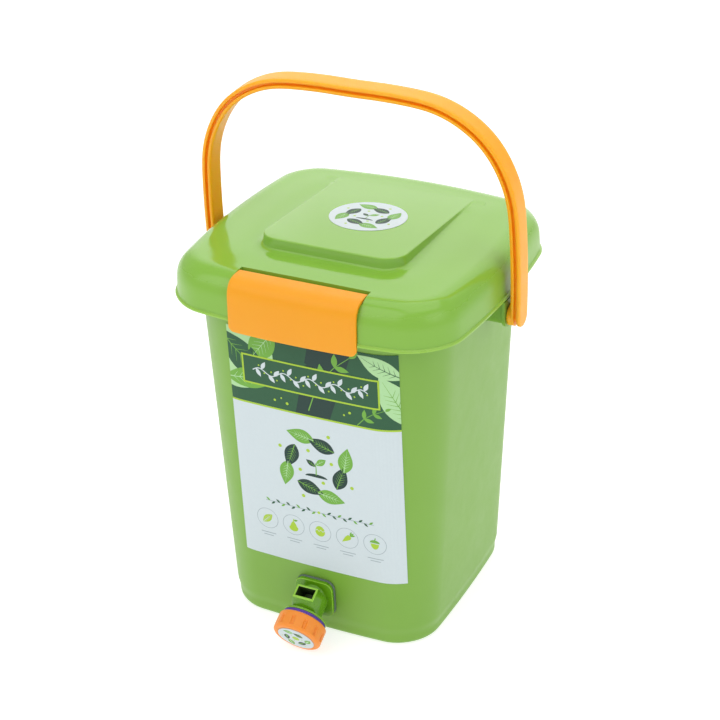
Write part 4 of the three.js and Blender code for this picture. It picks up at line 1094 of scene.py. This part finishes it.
def vine(art, start, end, w):
    """A waving stem with white leaves."""
    steps, leaves = 64, 18
    course = [(lerp(start, end, k / steps), w + 2.6 * math.sin(k / steps * 9 * math.pi))
              for k in range(steps + 1)]
    patch(art, stroke(course, 0.9), "white", 8)
    for k in range(leaves):
        x, y = course[round((k + 0.5) / leaves * steps)]
        side = 1 if k % 2 else -1
        patch(art, blade(x, y, 8.2, 3.6, side * (62 if k % 4 < 2 else 50), 10), "white", 8)
        patch(art, disc(x + 2.6, y - side * 3.2, 0.75, 10), "lime", 8)


def garland(art, middle, w, reach):
    """A straight stem with small leaves that point away from its middle."""
    patch(art, stroke([(middle - reach, w), (middle, w), (middle + reach, w)], 0.5), "grey")
    for side in (1, -1):
        for k in range(10):
            u = middle + side * lerp(3.0, reach - 4.0, k / 9)
            lean = 38 if k % 2 else -38
            patch(art, blade(u, w, 4.6, 1.8, lean if side > 0 else 180 - lean, 10),
                  "forest" if k % 3 else "leaf", 2)
    patch(art, disc(middle, w, 1.3, 16), "lime", 2)


def badge(art, u, w, icon):
    """A small picture in a ring, over two plain rules."""
    hoop(art, u, w, 9.6, 0.4, "grey", 1)
    icon(art, u, w)
    for reach, drop in ((7, 14.5), (4.5, 17)):
        patch(art, stroke([(u - reach, w - drop), (u + reach, w - drop)], 0.7), "grey")


def pear_icon(art, u, w):
    body = [(u + (3.9 - 1.5 * math.sin(t)) * math.cos(t) * (1 if math.sin(t) < 0 else 0.8),
             w - 1.4 + 5.0 * math.sin(t)) for t in turns(30, 4)[:-1]]
    patch(art, body, "lime")
    patch(art, stroke([(u, w + 3), (u + 0.6, w + 6.2)], 0.8), "lime")
    patch(art, blade(u + 0.5, w + 4.2, 4, 1.9, 20, 8), "leaf", 2)


def carrot_icon(art, u, w):
    patch(art, blade(u + 3.2, w + 2.6, 11, 4.6, 222, 12, 0.25), "lime")
    for turn in (20, 48, 76):
        patch(art, blade(u + 2.8, w + 2.4, 5, 1.8, turn, 8), "leaf", 2)


def egg_icon(art, u, w):
    patch(art, [(u + 4.4 * math.cos(t), w - 0.3 + (5.8 if math.sin(t) > 0 else 4.6) * math.sin(t))
                for t in turns(30, 4)[:-1]], "lime")
    zigzag = [(u - 4.4, w + 0.2), (u - 2.6, w + 1.8), (u - 1.0, w + 0.1), (u + 0.8, w + 1.8),
              (u + 2.4, w + 0.1), (u + 4.4, w + 1.4)]
    patch(art, stroke(zigzag, 0.6), "white", 2)


def leaf_icon(art, u, w):
    veined(art, u - 4.8, w - 4.8, 13.4, 6.6, 45, "lime", "white", weight=0.5)


def acorn_icon(art, u, w):
    patch(art, oval(u, w + 0.4, 3.6, -5.4), "lime")
    patch(art, oval(u, w + 1.2, 4.4, 3.0), "leaf")
    patch(art, stroke([(u, w + 3.8), (u + 0.7, w + 6.3)], 0.9), "leaf")


def split(art, place, outward, clear=False):
    """Cuts the print along a plane, and takes away what lies outside it if asked."""
    bmesh.ops.bisect_plane(art, geom=art.verts[:] + art.edges[:] + art.faces[:], plane_co=place,
                           plane_no=outward, clear_outer=clear)


def label_art():
    top = bmesh.new()
    header(top)
    for place, outward in [((0, 0, 0), (-1, 0, 0)), ((LABEL_WIDTH, 0, 0), (1, 0, 0)),
                           ((0, LABEL_HEIGHT, 0), (0, 1, 0)), ((0, LABEL_DIVIDER, 0), (0, -1, 0))]:
        split(top, place, outward, clear=True)
    art = bmesh.new()
    art.from_mesh(mesh_from(top, "header"))
    patch(art, box(0, LABEL_DIVIDER - DIVIDER_LINE, LABEL_WIDTH, LABEL_DIVIDER), "lime", 2)
    wreath(art, LABEL_MIDDLE, 102, 25, 25, 8)
    seedling(art, LABEL_MIDDLE, 104.5, 10.5)
    garland(art, LABEL_MIDDLE, 57, 49)
    for k, icon in enumerate([leaf_icon, pear_icon, egg_icon, carrot_icon, acorn_icon]):
        badge(art, 23.8 + k * 24.5, 38, icon)
    return art


def front_course(z):
    """Distance along the front wall from its middle, and the points at those distances."""
    half_x, half_y, corner = wall_sizes(z)
    steps = 40
    flat = [(-(half_x - corner) + corner * math.cos(math.pi + turn),
             -(half_y - corner) + corner * math.sin(math.pi + turn)) for turn in turns(steps)]
    flat += [(lerp(-1, 1, k / steps) * (half_x - corner), -half_y) for k in range(1, steps)]
    flat += [(-x, y) for x, y in flat[steps::-1]]
    points = [bowed(x, y, half_x, half_y, WALL_BOW, z) for x, y in flat]
    run = run_along(points)
    middle = run[-1] / 2
    return [distance - middle for distance in run], points


def on_wall(s, z, off, courses):
    """The point at a distance s along the wall and a height z, off the wall by a gap."""
    key = round(z, 1)
    if key not in courses:
        courses[key] = front_course(key)
    runs, points = courses[key]
    k = min(max(bisect.bisect(runs, s) - 1, 0), len(runs) - 2)
    share = (s - runs[k]) / (runs[k + 1] - runs[k])
    along = points[k + 1] - points[k]
    outward = Vector((along.y, -along.x, 0)).normalized()
    place = points[k].lerp(points[k + 1], share) + outward * off
    return Vector((place.x, place.y, z))


def make_label():
    """The printed sheet: a thin film with its print a hair above it, laid on the wall."""
    art = label_art()
    base = bmesh.new()
    patch(base, box(0, 0, LABEL_WIDTH, LABEL_HEIGHT), "white", 0)
    art.from_mesh(mesh_from(base, "sheet"))
    columns, rows = 50, 12
    for k in range(1, columns):
        split(art, (LABEL_WIDTH * k / columns, 0, 0), (1, 0, 0))
    for k in range(1, rows):
        split(art, (0, LABEL_HEIGHT * k / rows, 0), (0, 1, 0))
    bmesh.ops.triangulate(art, faces=art.faces)
    courses = {}
    for vert in art.verts:
        u, w, layer = vert.co
        off = LABEL_OFF + PRINT_STEP * layer
        vert.co = on_wall(LABEL_LEFT + u, LABEL_BOTTOM + w, off, courses)
    make_sticker(art, "label_print", "bin", "front_label", Vector((0, -1, 0)))


def make_sticker(art, name, body, node, outward):
    """Turns the print's faces outward, scales it to metres and hangs it on its body."""
    for face in art.faces:
        face.normal_update()
        if face.normal.dot(outward) < 0:
            face.normal_flip()
    bmesh.ops.scale(art, vec=(MM, MM, MM), verts=art.verts)
    piece = placed(mesh_from(art, name), name)
    for ink in INK_NAMES:
        piece.data.materials.append(INKS[ink])
    hung(piece, body, node)


def make_round_sticker(name, body, node, radius, matrix, leaves, detail):
    """A round film with a wreath on it, with a seedling inside or, if small, a dot."""
    art = bmesh.new()
    patch(art, disc(0, 0, radius, 96), "white", DISC_FILM)
    wreath(art, 0, 0, radius * 0.56, radius * 0.58, leaves, DISC_FILM + 1, detail)
    if detail:
        seedling(art, 0, radius * 0.06, radius * 0.25, DISC_FILM + 1)
    else:
        patch(art, disc(0, 0, radius * 0.2, 24), "lime", DISC_FILM + 1)
    for vert in art.verts:
        vert.co.z *= PRINT_STEP
    bmesh.ops.triangulate(art, faces=art.faces)
    rim = skinned([circle(radius, 0, 96), circle(radius, DISC_EDGE, 96)])
    art.from_mesh(closed_mesh_from(rim, "rim"))
    moved(art, matrix)
    make_sticker(art, name, body, node, matrix.to_3x3() @ Vector((0, 0, 1)))


def make_stickers():
    make_label()
    slope = math.atan((wedge_top(WEDGE_FRONT) - wedge_top(WEDGE_BACK))
                      / (WEDGE_BACK - WEDGE_FRONT))
    on_wedge = (Matrix.Translation((0, DISC_DEPTH, wedge_top(DISC_DEPTH) + DISC_OFF))
                @ Matrix.Rotation(-slope, 4, "X"))
    on_knob = barrel_matrix() @ Matrix.Translation((0, 0, KNOB_FACE + KNOB_DISC_OFF))
    make_round_sticker("lid_print", "lid", "lid_sticker", DISC_RADIUS, on_wedge, 8, True)
    make_round_sticker("knob_print", "valve", "knob_sticker", KNOB_DISC_RADIUS, on_knob, 6, False)


def make_floor():
    """A plain pale floor, matt and even."""
    bm = bmesh.new()
    bmesh.ops.create_grid(bm, x_segments=1, y_segments=1, size=FLOOR_HALF)
    floor = placed(mesh_from(bm, "floor"), "floor")
    material, tree = new_material("floor_white")
    shader = add_node(tree, "ShaderNodeBsdfPrincipled", {
        "Base Color": linear("#C3C3C3"), "Roughness": 0.9, "Specular IOR Level": 0.1,
        "Emission Color": linear("#FFFFFF"), "Emission Strength": 0.68})
    add_node(tree, "ShaderNodeOutputMaterial", {"Surface": shader.outputs["BSDF"]})
    floor.data.materials.append(material)


def add_light(name, place, aim, size, power):
    light = bpy.data.lights.new(name, "AREA")
    light.shape = "RECTANGLE"
    light.size, light.size_y = size
    light.energy = power
    lamp = placed(light, name)
    lamp.location = place
    lamp.rotation_euler = (Vector(aim) - Vector(place)).to_track_quat("-Z", "Y").to_euler()


def make_camera():
    azimuth, elevation, roll = map(math.radians, (CAMERA_AZIMUTH, CAMERA_ELEVATION, CAMERA_ROLL))
    back = Vector((math.sin(azimuth) * math.cos(elevation),
                   -math.cos(azimuth) * math.cos(elevation), math.sin(elevation)))
    right = (-back).cross(Vector((0, 0, 1))).normalized()
    up = right.cross(-back)
    turned_right = right * math.cos(roll) + up * math.sin(roll)
    turned_up = up * math.cos(roll) - right * math.sin(roll)
    camera = bpy.data.cameras.new("camera")
    camera.sensor_width = SENSOR
    camera.lens = FOCAL_PX * SENSOR / IMAGE_PX
    view = placed(camera, "camera")
    place = (Vector(CAMERA_TARGET) + back * CAMERA_DISTANCE) * MM
    turn = Matrix((turned_right, turned_up, back)).transposed().to_4x4()
    view.matrix_world = Matrix.Translation(place) @ turn
    bpy.context.scene.camera = view


def make_world():
    """An even white studio that is brighter behind the bin, where its lid mirrors it."""
    world = bpy.data.worlds.new("studio")
    world.use_nodes = True
    tree = world.node_tree
    background = tree.nodes["Background"]
    where = add_node(tree, "ShaderNodeTexCoord").outputs["Generated"]
    behind = add_node(tree, "ShaderNodeVectorMath", {0: where, 1: SKY_TOWARDS},
                      operation="DOT_PRODUCT").outputs["Value"]
    strength = add_node(tree, "ShaderNodeMapRange", {
        "Value": behind, "From Min": SKY_EDGE, "From Max": SKY_FULL, "To Min": SKY,
        "To Max": SKY_BRIGHT}, interpolation_type="SMOOTHSTEP").outputs["Result"]
    background.inputs["Color"].default_value = linear("#FFFFFF")
    tree.links.new(strength, background.inputs["Strength"])
    bpy.context.scene.world = world


make_bucket()
make_lid()
make_latch()
make_bail()
make_knob()
make_ring()
make_tap()
# The gasket takes the grey rubber with its painted shade
softened_copy("tap_gasket", "flange_gasket", shaded_grey_rubber, 0.4, 0.96)
softened_copy("drain_grate", "grate_plate", grate_pp, 0.3)
make_stickers()
# The valve plug takes the spout's painted shade
for node, material in {"lid_seal": milky_rubber, "tap_washer": shaded_grey_rubber, "tap_nut": tap_pp,
                       "valve_plug": spout_shade_pp}.items():
    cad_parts[node].data.materials.clear()
    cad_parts[node].data.materials.append(material)
for name, light in LIGHTS.items():
    add_light(name, *light)
make_world()
make_floor()
make_camera()
bpy.context.scene.view_settings.view_transform = "Standard"
